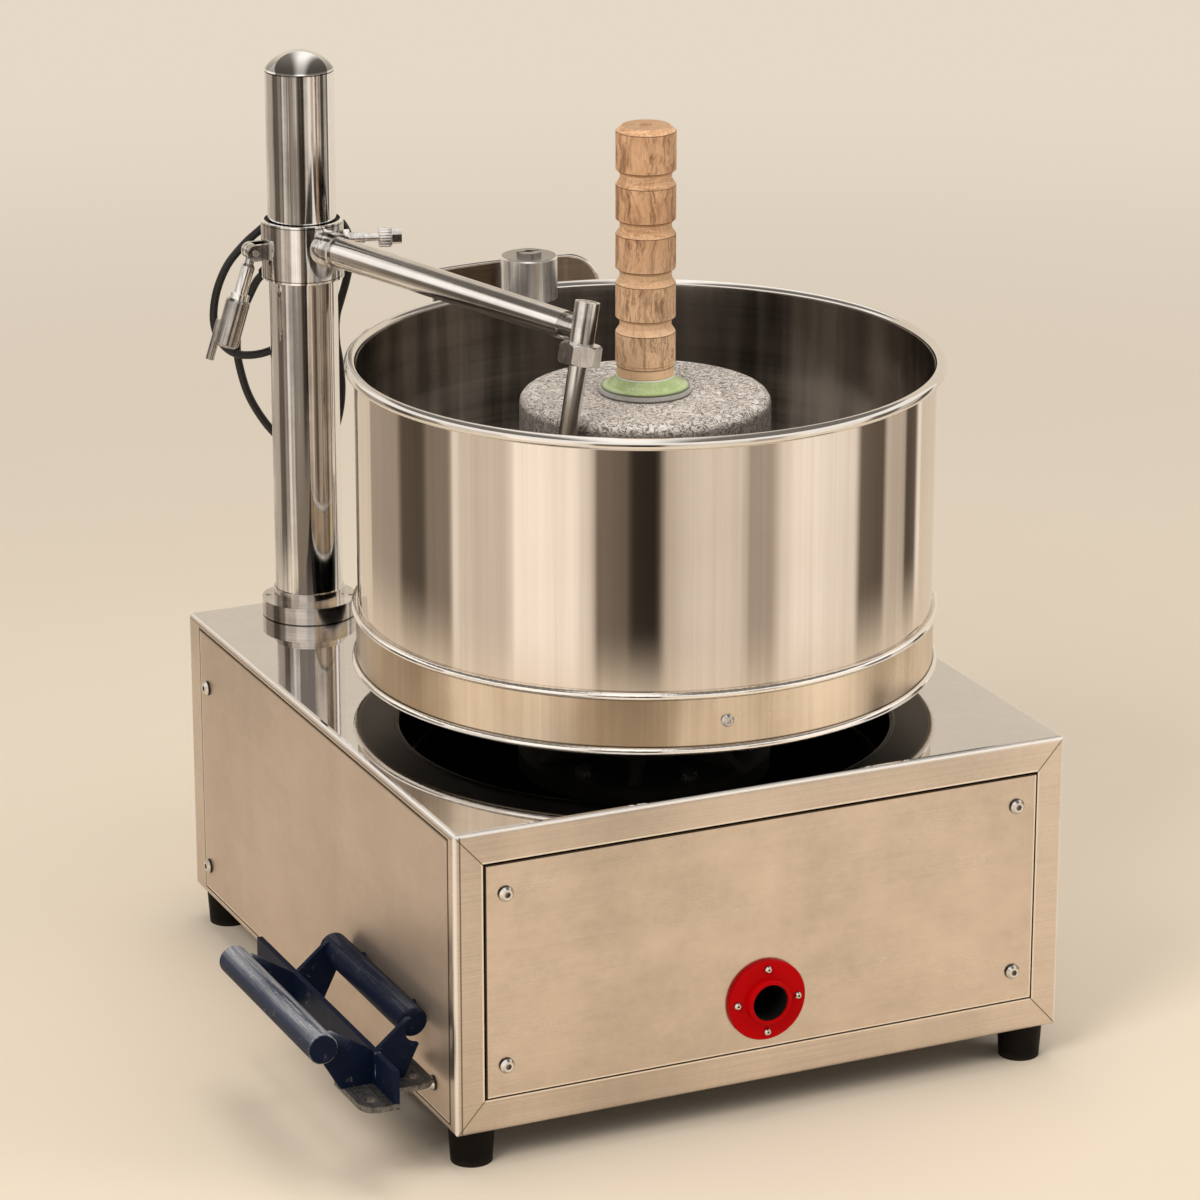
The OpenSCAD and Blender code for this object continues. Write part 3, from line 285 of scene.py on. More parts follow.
# Rubber feet, bush and belt.
# Moulded black rubber with a dusty bloom; the feet are held by a screw up through the flange.
# The port's bush and the column's liner are the same black in a harder plastic.
black_rubber, shader, here = surface("moulded_black_rubber", specular=0.10)
dust = here.noise(35.0, 5.0, 0.65)
pore = here.noise(1400.0, 2.0)
dusty_h = 0.006
low = 1 - here.axis(2).rise(0.0, dusty_h)
bloom = dust.rise(0.5, 0.85) * 0.5 + low * 0.5
bloom.tint((0.005, 0.004, 0.003), (0.026, 0.020, 0.016)).to(shader, "Base Color")
(0.48 + 0.25 * dust).to(shader, "Roughness")
pore.relief(0.35, 0.00012).to(shader, "Normal")
dress(black_rubber, "rubber_feet", "drive_belt", "cord_glands")

black_plastic, shader, here = surface("black_nylon", specular=0.12)
pore = here.noise(700.0, 3.0)
pore.tint((0.004, 0.004, 0.004), (0.014, 0.013, 0.012)).to(shader, "Base Color")
(0.38 + 0.2 * pore).to(shader, "Roughness")
pore.relief(0.2, 0.0001).to(shader, "Normal")
dress(black_plastic, "port_bush", "sleeve_bush", "motor_cap")


# Red port flange.
# A turned disc with a raised boss, sprayed in red enamel and screwed to the front panel.
# The paint has a soft orange-peel skin and thins to a darker line on its edges.
port_low, port_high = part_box("port_flange")
red_enamel, shader, here = surface("red_enamel", specular=0.03)
peel = here.noise(420.0, 2.0)
cloud = here.noise(40.0, 3.0)
across = here.axis(0) - (port_low.x + port_high.x) / 2
upward = here.axis(2) - (port_low.z + port_high.z) / 2
reach = (across * across + upward * upward).root()
thin_paint_r = 0.0283
edge = reach.rise(thin_paint_r, thin_paint_r + 0.0007)
(cloud * 0.6 + edge * 0.5).tint((0.56, 0.002, 0.004), (0.32, 0.001, 0.002)).to(shader, "Base Color")
(0.26 + 0.14 * cloud).to(shader, "Roughness")
peel.relief(0.10, 0.0002).to(shader, "Normal")
dress(red_enamel, "port_flange")


# Side bracket.
# Two grip tubes welded between cheek plates on a long fin, brushed over with dark blue paint.
# The paint is rubbed grey along the tops of the tubes, partly as wear and partly as a painted highlight, and
# the drilled lugs are bare steel.
lug_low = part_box("handle_frame")[0]
grip_low, grip_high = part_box("handle_grips")
blue_paint, shader, here = surface("rubbed_blue_paint", specular=0.07)
z = here.axis(2)
scratch = here.stretched((420, 14, 420)).noise(1.0, 5.0, 0.75, 0.4)
streak = here.stretched((130, 5, 130)).noise(1.0, 4.0, 0.6)
patch = here.noise(60.0, 6.0, 0.7)
fleck = here.noise(330.0, 4.0, 0.7)
tube_mid, outer_tube_w, lug_t = (grip_low.z + grip_high.z) / 2, 0.030, 0.0040
end_gap = (here.axis(1) - grip_low.y).least(grip_high.y - here.axis(1)).rise(0.0004, 0.0014)
# The tops of the tubes are lightened partly by wear and partly as a painted highlight; the upper side of the
# outer tube gets a painted sheen.
crown = z.rise(tube_mid + 0.0045, tube_mid + 0.0130) * end_gap
tube_sheen = z.rise(tube_mid - 0.004, tube_mid + 0.008) * end_gap
from_front = here.axis(1) - grip_low.y
front_rim = from_front.rise(0.0001, 0.0005) * (1 - from_front.rise(0.0012, 0.0020))
outer_tube = 1 - here.axis(0).rise(grip_low.x + outer_tube_w, grip_low.x + outer_tube_w + 0.006)
rubbed_and_highlit = streak.rise(0.36, 0.60) * 0.8 + scratch.rise(0.46, 0.62) * 0.9 + fleck.rise(0.54, 0.66) * 0.5
rubbed_and_highlit = (rubbed_and_highlit * crown * (0.16 + 0.74 * outer_tube) + front_rim * patch.rise(0.40, 0.56) * 0.7).least(1.0)
bare = 1 - z.rise(lug_low.z + lug_t, lug_low.z + lug_t + 0.0003)
worn = patch.rise(0.56, 0.70) * fleck.rise(0.50, 0.62)
paint = (patch * 0.6 + streak * 0.4).tint((0.002, 0.0045, 0.014), (0.008, 0.0150, 0.040))
paint = (tube_sheen * outer_tube * 0.75).tint(paint, patch.tint((0.030, 0.040, 0.066), (0.075, 0.092, 0.140)))
paint = rubbed_and_highlit.tint(paint, (0.40, 0.405, 0.425))
paint = (worn * 0.75).tint(paint, (0.15, 0.15, 0.155))
steel = (scratch * 0.5 + fleck * 0.5).rise(0.3, 0.7).tint((0.045, 0.042, 0.039), (0.26, 0.248, 0.238))
bare.tint(paint, steel).to(shader, "Base Color")
(bare * 0.8 + worn * 0.5 * (1 - bare)).to(shader, "Metallic")
(0.27 + 0.26 * patch + 0.12 * scratch).to(shader, "Roughness")
(scratch * 0.6 + patch * 0.8 + fleck * 0.3).relief(0.35, 0.0002).to(shader, "Normal")
dress(blue_paint, "handle_frame", "handle_grips", "handle_studs")


# Drive inside the cabinet.
# Grey iron pulleys, hub and bearing housing as they come from the sand, and a grey painted motor.
# They are fixed under the top sheet and to the bottom plate.
cast_iron, shader, here = surface("sand_cast_iron", metallic=0.7)
sand = here.noise(500.0, 4.0, 0.7)
cloud = here.noise(25.0, 4.0)
cloud.tint((0.045, 0.043, 0.041), (0.12, 0.115, 0.11)).to(shader, "Base Color")
(0.5 + 0.25 * sand).to(shader, "Roughness")
sand.relief(0.6, 0.0004).to(shader, "Normal")
dress(cast_iron, "bearing_housing", "drive_hub", "drum_pulley", "motor_pulley")

motor_paint, shader, here = surface("grey_motor_paint")
peel = here.noise(300.0, 2.0)
here.noise(20.0, 3.0).tint((0.10, 0.12, 0.135), (0.17, 0.19, 0.205)).to(shader, "Base Color")
(0.38 + 0.2 * peel).to(shader, "Roughness")
peel.relief(0.2, 0.0002).to(shader, "Normal")
dress(motor_paint, "motor_body", "motor_bracket")


# Drum.
# Stainless sheet rolled into a cylinder, spun over a wire at the rim, a beaded band screwed round its foot.
# Outside it is buffed bright; inside it keeps the rings of the mop under painted shade and painted streaks
# of reflection, and its underside is painted near black as shade.
drum_low, drum_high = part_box("drum_shell")
axis_x, axis_y = (drum_low.x + drum_high.x) / 2, (drum_low.y + drum_high.y) / 2
drum_r = (drum_high.x - drum_low.x) / 2
drum_steel, shader, here = surface("buffed_drum_steel", specular=0.0)
x, y, z = here.axis(0) - axis_x, here.axis(1) - axis_y, here.axis(2)
reach = (x * x + y * y).root()
inside = 1 - reach.rise(drum_r - 0.0009, drum_r - 0.0005)
band_low, band_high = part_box("drum_band")
rings = here.stretched((3, 3, 900)).noise(1.0, 4.0, 0.7)
broad = here.stretched((2, 2, 60)).noise(1.0, 3.0, 0.6)
cloud = here.noise(9.0, 4.0, 0.6)
hair = here.stretched((190, 190, 1.5)).noise(1.0, 4.0, 0.65)
streak = here.stretched((48, 48, 0.5)).noise(1.0, 3.0, 0.6)
tone = (cloud * 0.2 + hair * 0.35 + streak * 0.45).rise(0.30, 0.70)
on_band = 1 - z.rise(band_high.z - 0.0010, band_high.z)
outer = tone.tint((0.69, 0.615, 0.54), (0.86, 0.79, 0.715))
swell = here.stretched((8, 8, 2)).noise(1.0, 3.0, 0.55, 0.6)
banded = (swell * 0.72 + cloud * 0.16 + hair * 0.12).rise(0.34, 0.66)
outer = on_band.tint(outer, banded.tint((0.42, 0.325, 0.235), (0.94, 0.815, 0.665)))
bead_r, weld_r = 0.0026, 0.168
# The bead is painted as a highlight, with painted shade lines along its sides.
on_bead = reach.rise(drum_r + 0.0017, drum_r + 0.0022)
bead_side_shade = (z - band_low.z - bead_r - 0.0004).least(band_high.z - bead_r - 0.0004 - z)
bead_side_shade = (1 - abs(bead_side_shade - bead_r - 0.0003).rise(0.0002, 0.0007)) * on_band
outer = on_bead.tint((bead_side_shade * 0.75).tint(outer, (0.07, 0.055, 0.042)), (0.95, 0.925, 0.89))
# The underside is painted near black as shade, with the weld ring left bright.
under = 1 - z.rise(drum_low.z + 0.0004, drum_low.z + 0.0014)
plate_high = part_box("drum_bottom")[1]
under = under.most(inside * (1 - z.rise(plate_high.z - 0.0008, plate_high.z - 0.0002)))
weld = 1 - abs(reach - weld_r).rise(0.0008, 0.0018)
outer_zone = reach.rise(weld_r - 0.008, weld_r + 0.004)
underside_shade = outer_zone.tint((0.010, 0.009, 0.008), (0.070, 0.061, 0.053))
underside_shade = (weld * 0.8).tint(underside_shade, (0.42, 0.385, 0.35))
# The inside is painted darker as shade, with upright streaks as painted reflections over the rings of the
# mop.
upright_reflection = here.stretched((13, 13, 1.0)).noise(1.0, 4.0, 0.6, 0.5)
fine = here.stretched((70, 70, 3.0)).noise(1.0, 3.0, 0.6)
inner = (rings * 0.08 + broad * 0.12 + upright_reflection * 0.60 + fine * 0.20).rise(0.32, 0.64)
inner = inner.tint((0.075, 0.066, 0.058), (0.88, 0.82, 0.755))
under.tint(inside.tint(outer, inner), underside_shade).to(shader, "Base Color")
hazy = on_band * (1 - on_bead)
outer_rough = 0.03 + 0.04 * cloud + (0.17 + 0.10 * swell) * hazy
sheet_rough = outer_rough * (1 - inside) + (0.11 + 0.10 * rings) * inside
(sheet_rough * (1 - under) + 0.34 * under).to(shader, "Roughness")
(1 - under * (1 - outer_zone)).to(shader, "Metallic")
(rings * inside * 0.4 + rings * 0.05).relief(0.15, 0.0002).to(shader, "Normal")
dress(drum_steel, "drum_shell", "drum_bottom", "drum_band")


def mesh_piece(name, points, quads, material):
    """Puts points and faces into a new object at the origin, smooth shaded, with this material."""
    mesh = bpy.data.meshes.new(name)
    mesh.from_pydata(points.tolist(), [], quads.tolist() if hasattr(quads, "tolist") else quads)
    mesh.polygons.foreach_set("use_smooth", np.full(len(mesh.polygons), True))
    mesh.materials.append(material)
    mesh.update()
    piece = bpy.data.objects.new(name, mesh)
    bpy.context.scene.collection.objects.link(piece)
    return piece


def grid_quads(rows, columns, closed):
    """Faces of a grid of rows by columns points; closed joins the last column to the first."""
    r, c = np.meshgrid(np.arange(rows - 1), np.arange(columns if closed else columns - 1), indexing="ij")
    n = (c + 1) % columns
    corners = [r * columns + c, r * columns + n, (r + 1) * columns + n, (r + 1) * columns + c]
    return np.stack(corners, -1).reshape(-1, 4)


def rolled_rim(mid_r, wire_r, wall_r, height, turns, sides):
    """A circle of wire_r carried round the drum at mid_r; its lower inner half is cut flat at wall_r."""
    around = np.linspace(0, 2 * np.pi, turns + 1)[:, None]
    across = np.linspace(0, 2 * np.pi, sides, endpoint=False)[None, :]
    out, up = mid_r + wire_r * np.cos(across), wire_r * np.sin(across)
    out = np.where((up < 0) & (out < wall_r), wall_r, out)
    ring = np.broadcast_arrays(axis_x + out * np.cos(around), axis_y + out * np.sin(around), height + up)
    return np.stack(ring, -1).reshape(-1, 3)


rim_low, rim_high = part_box("drum_rim")
rim_wire_r = 0.0042
rim_mid_r = (rim_high.x - rim_low.x) / 2 - rim_wire_r
rim_steel, shader, here = surface("bright_rim_steel", metallic=1.0)
cloud = here.noise(40.0, 4.0, 0.6)
rub = here.stretched((40, 40, 1200)).noise(1.0, 2.0)
cloud.tint((0.74, 0.71, 0.67), (0.88, 0.855, 0.82)).to(shader, "Base Color")
(0.06 + 0.07 * cloud).to(shader, "Roughness")
rub.relief(0.02, 0.0001).to(shader, "Normal")
rim_turns, rim_sides = 720, 28
rim_points = rolled_rim(rim_mid_r, rim_wire_r, drum_r, rim_high.z - rim_wire_r, rim_turns, rim_sides)
# The corners of each face are taken the other way round, so that it points out of the wire.
rim_quads = grid_quads(rim_turns + 1, rim_sides, True)[:, [0, 3, 2, 1]] % (rim_turns * rim_sides)
rim = mesh_piece("rolled_rim", rim_points[:rim_turns * rim_sides], rim_quads, rim_steel)
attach(rim, "drum")
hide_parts("drum_rim")


# Granite stones.
# A flat base stone lies on the drum floor and a roller stands on it, both pecked with a point chisel.
# Pale felspar, grey quartz and black mica show as millimetre grains.
granite, shader, here = surface("pecked_granite", specular=0.3)
stone_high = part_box("roller_stone")[1]
loose = here.warped(300.0, 0.0014)
curl = (loose.noise(180.0, 1.0, 0.5, 0.9) * 29).sine()
broken = here.noise(330.0, 2.0, 0.6)
# The pecked grooves are painted dark as shade, and the lips between them get a painted highlight.
groove = (1 - curl.rise(-0.97, -0.32)) * broken.rise(0.36, 0.50)
lip_highlight = curl.rise(0.40, 0.95) * (1 - broken.rise(0.50, 0.64))
grit = here.noise(900.0, 3.0, 0.7)
mica = here.noise(640.0, 3.0, 0.6).rise(0.60, 0.68)
cloud = here.noise(16.0, 4.0, 0.6)
# The side of the roller is painted darker than its top, as shade.
shaded_flank = 1 - here.axis(2).rise(stone_high.z - 0.0080, stone_high.z - 0.0022)
stone_colour = (grit * 0.6 + cloud * 0.4).ramp([(0.34, (0.47, 0.408, 0.360)), (0.50, (0.66, 0.587, 0.527)),
                                                (0.66, (0.83, 0.752, 0.686))])
colour = (lip_highlight * 0.70).tint(stone_colour, (0.90, 0.86, 0.81))
colour = (groove * (0.80 + 0.1 * shaded_flank)).tint(colour, (0.085, 0.067, 0.053))
colour = (mica * 0.4).tint(colour, (0.09, 0.076, 0.064))
(shaded_flank * 0.72).tint(colour, (0.13, 0.108, 0.09)).to(shader, "Base Color")
(0.74 + 0.2 * grit).to(shader, "Roughness")
(grit * 0.4 - groove * 0.9 + lip_highlight * 0.4).relief(0.9, 0.0010).to(shader, "Normal")
dress(granite, "roller_stone", "base_stone")


# Grey ring and green washer.
# A turned aluminium disc sits on the stone, and a flared green plastic washer lies on it.
# The through rod of the handle clamps both.
ring_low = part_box("stone_ring")[0]
ring_metal, shader, here = surface("turned_ring_metal", metallic=0.35)
# The foot of the ring is painted dark as a contact shadow.
foot = 1 - here.axis(2).rise(ring_low.z + 0.0009, ring_low.z + 0.0017)
turning = here.noise(700.0, 2.0)
speck = here.noise(520.0, 3.0, 0.7).rise(0.56, 0.66)
ring_colour = here.noise(50.0, 3.0).tint((0.50, 0.487, 0.475), (0.64, 0.628, 0.616))
ring_colour = (speck * 0.5).tint(ring_colour, (0.24, 0.228, 0.215))
(foot * 0.85).tint(ring_colour, (0.06, 0.054, 0.048)).to(shader, "Base Color")
(0.34 + 0.2 * turning).to(shader, "Roughness")
turning.relief(0.15, 0.0001).to(shader, "Normal")
dress(ring_metal, "stone_ring")

green_low, green_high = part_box("green_washer")
green_plastic, shader, here = surface("green_washer_plastic", coat=0.3)
cloud = here.noise(70.0, 4.0)
# The foot is painted dark as a contact shadow, and the top lip gets a painted highlight.
foot = 1 - here.axis(2).rise(green_low.z + 0.0008, green_low.z + 0.0016)
lip_highlight = here.axis(2).rise(green_high.z - 0.0012, green_high.z - 0.0003)
streak = here.stretched((230, 230, 60)).noise(1.0, 3.0, 0.6).rise(0.50, 0.66)
colour = (cloud * 0.5 + streak * 0.5).tint((0.42, 0.545, 0.225), (0.62, 0.735, 0.415))
colour = (lip_highlight * 0.8).tint(colour, (0.88, 0.88, 0.82))
(foot * 0.9).tint(colour, (0.05, 0.06, 0.03)).to(shader, "Base Color")
(0.22 + 0.2 * cloud).to(shader, "Roughness")
here.noise(260.0, 2.0).relief(0.12, 0.00015).to(shader, "Normal")
dress(green_plastic, "green_washer")


# Wooden handle.
# A light hardwood baton turned on a lathe, with coves cut round it for the fingers.
# Its grain runs up in flames and splinters and lies in arcs in the coves; each corner has a painted dark
# line of shade, and the lower part is painted paler to stand in for light.
wood_low, wood_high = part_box("wood_handle")
turned_wood, shader, here = surface("turned_hardwood", specular=0.3)
x, y, z = here.axis(0) - axis_x, here.axis(1) - axis_y, here.axis(2)
reach = (x * x + y * y).root()
groove_top, groove_pitch, groove_h, chamfer_h = 0.0307, 0.0348, 0.011, 0.004
corner_shade, grain_dark, painted_light_wood = (0.085, 0.036, 0.017), (0.225, 0.102, 0.046), (0.98, 0.66, 0.410)
plain_top = z.rise(wood_high.z - 0.030, wood_high.z - 0.029)
down = here.math("FLOORED_MODULO", wood_high.z - groove_top - z, groove_pitch)
in_cove = (1 - down.rise(groove_h - 0.0004, groove_h)) * (1 - plain_top)
in_cove = in_cove.most(z.rise(wood_high.z - chamfer_h, wood_high.z - chamfer_h + 0.0004))
# A painted dark line of shade runs along each corner of the coves and the top chamfer.
corner = (1 - abs(down - groove_h).rise(0.0001, 0.0005)).most(1 - abs(down - 0.0003).rise(0.0002, 0.0008))
corner = corner * (1 - plain_top)
corner = corner.most(1 - abs(wood_high.z - chamfer_h - z).rise(0.0001, 0.0005))
flow = here.warped(44.0, 0.013)
flame = flow.stretched((150, 150, 24)).noise(1.0, 4.0, 0.62, 1.3)
fibre = flow.stretched((640, 640, 34)).noise(1.0, 4.0, 0.66)
splinter = flow.stretched((240, 240, 15)).noise(1.0, 2.0, 0.5, 0.8)
arcs = flow.stretched((70, 70, 640)).noise(1.0, 3.0, 0.6, 0.6)
broad = here.noise(38.0, 3.0, 0.55)
dark = flame.rise(0.44, 0.66) * (0.45 + 0.55 * fibre.rise(0.42, 0.60))
thread = (1 - abs(splinter - 0.5).rise(0.006, 0.034)) * flame.rise(0.40, 0.56)
tone = broad * 0.45 + fibre * 0.30 + (1 - flame) * 0.25
wood_colour = tone.ramp([(0.36, (0.47, 0.247, 0.121)), (0.48, (0.67, 0.380, 0.203)),
                         (0.62, (0.82, 0.515, 0.306))])
cove_colour = (arcs * 0.6 + fibre * 0.4).rise(0.34, 0.62).tint((0.50, 0.268, 0.131), (0.81, 0.505, 0.293))
end_grain = z.rise(wood_high.z - 0.0004, wood_high.z - 0.0001)
# The lower part of the handle is painted paler, to stand in for light.
painted_light_low = 1 - z.rise(wood_low.z + 0.02, wood_low.z + 0.11)
wood_colour = (painted_light_low * 0.80).tint(wood_colour, painted_light_wood)
cove_colour = (painted_light_low * 0.80).tint(cove_colour, painted_light_wood)
feather = flow.stretched((330, 330, 30)).noise(1.0, 2.0, 0.5, 1.5)
feather = (1 - abs(feather - 0.48).rise(0.008, 0.045)) * (0.35 + 0.65 * broad.rise(0.36, 0.58))
wood_colour = (feather * 0.40).tint(wood_colour, (0.36, 0.180, 0.088))
colour = (dark * (0.74 - 0.22 * painted_light_low)).tint(wood_colour, grain_dark)
colour = (thread * 0.52).tint(colour, (0.140, 0.060, 0.026))
colour = in_cove.tint(colour, (thread * 0.30).tint(cove_colour, (0.16, 0.068, 0.030)))
colour = (corner * 0.75).tint(colour, corner_shade)
pith = 1 - reach.rise(0.0032, 0.0046)
colour = (end_grain * 0.75).tint(colour, tone.tint((0.30, 0.165, 0.085), (0.52, 0.32, 0.185)))
(end_grain * pith * 0.7).tint(colour, (0.09, 0.045, 0.024)).to(shader, "Base Color")
(0.46 + 0.2 * fibre).to(shader, "Roughness")
(fibre * 0.5 - dark * 0.3 - thread * 0.5).relief(0.35, 0.0003).to(shader, "Normal")
dress(turned_wood, "wood_handle")


# Column.
# A polished stainless tube closed by a buffed dome, in a turned flange that is screwed to the top sheet.
# The lock lever on the sleeve has the same polish.
column_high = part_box("column")[1]
sleeve_low, sleeve_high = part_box("sleeve_bush")
column_x, column_y = (sleeve_low.x + sleeve_high.x) / 2, (sleeve_low.y + sleeve_high.y) / 2
polished, shader, here = surface("polished_tube_steel", metallic=1.0)
cloud = here.noise(22.0, 4.0, 0.6)
drawn = here.stretched((105, 105, 0.6)).noise(1.0, 4.0, 0.68)
line = here.stretched((9, 9, 700)).noise(1.0, 3.0, 0.6)
seam = 1 - abs(here.axis(2) - column_high.z + 0.0006).rise(0.0002, 0.0006)
tone = (drawn * 0.85 + cloud * 0.15).rise(0.38, 0.58)
colour = tone.tint((0.20, 0.182, 0.166), (0.95, 0.945, 0.94))
seam.tint(colour, (0.06, 0.052, 0.045)).to(shader, "Base Color")
(0.045 + 0.06 * cloud + 0.03 * line).to(shader, "Roughness")
line.relief(0.05, 0.0001).to(shader, "Normal")
dress(polished, "column", "lock_lever")

dome_steel, shader, here = surface("buffed_dome_steel", metallic=1.0)
cloud = here.noise(60.0, 4.0, 0.6)
swirl = here.stretched((300, 300, 900)).noise(1.0, 3.0, 0.6)
# The lip at the dome's foot gets a painted highlight, and the dome is painted darker away from its top, as
# shade.
lip_highlight = 1 - here.axis(2).rise(column_high.z + 0.0004, column_high.z + 0.0014)
colour = (cloud * 0.6 + swirl * 0.4).tint((0.78, 0.765, 0.75), (0.90, 0.89, 0.88))
x, y = here.axis(0) - column_x, here.axis(1) - column_y
off = (x * x + y * y).root()
colour = off.rise(0.012, 0.0245).tint(colour, (0.34, 0.325, 0.31))
lip_highlight.tint(colour, (0.95, 0.94, 0.925)).to(shader, "Base Color")
(0.05 + 0.05 * cloud).to(shader, "Roughness")
swirl.relief(0.03, 0.0001).to(shader, "Normal")
dress(dome_steel, "column_cap")

flange_steel, shader, here = surface("turned_flange_steel", metallic=1.0)
line = here.stretched((14, 14, 2200)).noise(1.0, 3.0, 0.65)
cloud = here.noise(30.0, 4.0, 0.6)
# The foot of the flange is painted dark as a contact shadow.
foot = 1 - here.axis(2).rise(shell_high.z + 0.0004, shell_high.z + 0.0012)
colour = (cloud * 0.5 + line * 0.5).rise(0.3, 0.7).tint((0.50, 0.475, 0.45), (0.90, 0.875, 0.85))
(foot * 0.9).tint(colour, (0.03, 0.027, 0.025)).to(shader, "Base Color")
(0.08 + 0.10 * line).to(shader, "Roughness")
line.relief(0.10, 0.0001).to(shader, "Normal")
dress(flange_steel, "column_flange")


# Sleeve, lever grip, clamp screw and arm.
# A turned sleeve with a thin liner slides and turns on the column; the arm is a drawn tube welded to it.
# The end socket, its nut, the clamp screw and the lever's grip are turned bar.
collar_low, collar_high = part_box("arm_sleeve")
sleeve_steel, shader, here = surface("polished_sleeve_steel", metallic=1.0)
drawn = here.stretched((120, 120, 1.0)).noise(1.0, 4.0, 0.66)
cloud = here.noise(30.0, 4.0, 0.6)
# A painted highlight rings each end of the sleeve, with a painted shade line just inside it.
in_edge = (here.axis(2) - collar_low.z).least(collar_high.z - here.axis(2))
edge_highlight = 1 - in_edge.rise(0.0009, 0.0013)
edge_shade_line = 1 - abs(in_edge - 0.0018).rise(0.0002, 0.0006)
tone = (drawn * 0.8 + cloud * 0.2).rise(0.38, 0.62).tint((0.34, 0.315, 0.295), (0.93, 0.92, 0.91))
tone = (edge_shade_line * 0.7).tint(tone, (0.08, 0.07, 0.06))
edge_highlight.tint(tone, (0.96, 0.95, 0.935)).to(shader, "Base Color")
(0.06 + 0.06 * cloud).to(shader, "Roughness")
drawn.relief(0.03, 0.0001).to(shader, "Normal")
dress(sleeve_steel, "arm_sleeve")

grip_steel, shader, here = surface("turned_grip_steel", metallic=1.0)
grip_lean = -0.35
on_grip = here.stretched((1, 1, 1), turn=(0, grip_lean, 0))
drawn = on_grip.stretched((230, 230, 12)).noise(1.0, 4.0, 0.66)
cloud = here.noise(70.0, 3.0, 0.6)
tone = (drawn * 0.7 + cloud * 0.3).rise(0.36, 0.64)
tone.tint((0.25, 0.235, 0.22), (0.56, 0.54, 0.52)).to(shader, "Base Color")
(0.11 + 0.10 * cloud).to(shader, "Roughness")
drawn.relief(0.12, 0.0001).to(shader, "Normal")
dress(grip_steel, "lever_grip")

socket_steel, shader, here = surface("buffed_socket_steel", metallic=1.0)
drawn = here.stretched((150, 150, 6)).noise(1.0, 4.0, 0.66)
cloud = here.noise(50.0, 4.0, 0.6)
tone = (drawn * 0.6 + cloud * 0.4).rise(0.34, 0.66)
tone.tint((0.40, 0.38, 0.36), (0.84, 0.82, 0.80)).to(shader, "Base Color")
(0.12 + 0.08 * cloud).to(shader, "Roughness")
drawn.relief(0.06, 0.0001).to(shader, "Normal")
dress(socket_steel, "arm_socket", "socket_nut", "clamp_screw")

socket_low, socket_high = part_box("arm_socket")
arm_steel, shader, here = surface("drawn_arm_steel", metallic=1.0)
socket_x, socket_y = (socket_low.x + socket_high.x) / 2, (socket_low.y + socket_high.y) / 2
arm_bearing = math.atan2(socket_y - column_y, socket_x - column_x)
on_arm = here.stretched((1, 1, 1), turn=(0, 0, -arm_bearing))
drawn = on_arm.stretched((1.2, 150, 150)).noise(1.0, 4.0, 0.66)
cloud = here.noise(26.0, 4.0, 0.6)
tone = (drawn * 0.8 + cloud * 0.2).rise(0.34, 0.64)
tone.tint((0.46, 0.425, 0.39), (0.95, 0.925, 0.895)).to(shader, "Base Color")
(0.12 + 0.08 * cloud).to(shader, "Roughness")
drawn.relief(0.08, 0.0001).to(shader, "Normal")
dress(arm_steel, "arm_tube")


# Rear post and guard plate.
# A turned boss with a slotted nut, on a strap and a stand, and a curved sheet of satin steel behind it.
# A bright wire runs along the sheet's edge.
boss_steel, shader, here = surface("satin_boss_steel", metallic=0.85)
drawn = here.stretched((160, 160, 3.0)).noise(1.0, 4.0, 0.66)
cloud = here.noise(30.0, 4.0, 0.6)
post_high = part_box("rear_post")[1]
# A painted highlight rings the top edge of the boss.
top_edge_highlight = 1 - abs(here.axis(2) - post_high.z + 0.0008).rise(0.0003, 0.0008)
tone = (drawn * 0.75 + cloud * 0.25).rise(0.36, 0.64).tint((0.50, 0.47, 0.445), (0.97, 0.945, 0.92))
nut_low, nut_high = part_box("post_nut")
x, y = here.axis(0) - (nut_low.x + nut_high.x) / 2, here.axis(1) - (nut_low.y + nut_high.y) / 2
boss_r = 0.0206
away = (x * x + y * y).root().rise(boss_r, boss_r + 0.0006)
tone = away.tint(tone, cloud.tint((0.60, 0.57, 0.54), (0.76, 0.735, 0.705)))
# The level top is painted darker, as shade.
shaded_top = here.axis(2).rise(post_high.z - 0.0003, post_high.z - 0.0001)
tone = shaded_top.tint(tone, cloud.tint((0.27, 0.245, 0.225), (0.38, 0.35, 0.325)))
top_edge_highlight.tint(tone, (0.95, 0.93, 0.91)).to(shader, "Base Color")
turned_side = drawn * (1 - away.most(shaded_top))
(0.22 + 0.10 * turned_side).to(shader, "Roughness")
turned_side.relief(0.12, 0.0001).to(shader, "Normal")
dress(boss_steel, "rear_post", "post_nut")

guard_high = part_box("guard_plate")[1]
guard_r, guard_t = 0.2556, 0.002
guard_steel, shader, here = surface("satin_guard_steel", metallic=1.0)
grain = here.stretched((4, 4, 1500)).noise(1.0, 3.0, 0.6)
x, y = here.axis(0) - axis_x, here.axis(1) - axis_y
depth = (x * x + y * y).root() - guard_r
edge = depth.rise(0.0002, 0.0004) * (1 - depth.rise(guard_t - 0.0004, guard_t - 0.0002))
streak = here.stretched((60, 60, 4)).noise(1.0, 4.0, 0.6)
colour = (streak * 0.6 + grain * 0.4).rise(0.3, 0.7).tint((0.16, 0.138, 0.116), (0.34, 0.30, 0.26))
edge.tint(colour, (0.95, 0.93, 0.90)).to(shader, "Base Color")
(0.16 + 0.12 * grain).to(shader, "Roughness")
grain.relief(0.06, 0.0001).to(shader, "Normal")
dress(guard_steel, "guard_plate")


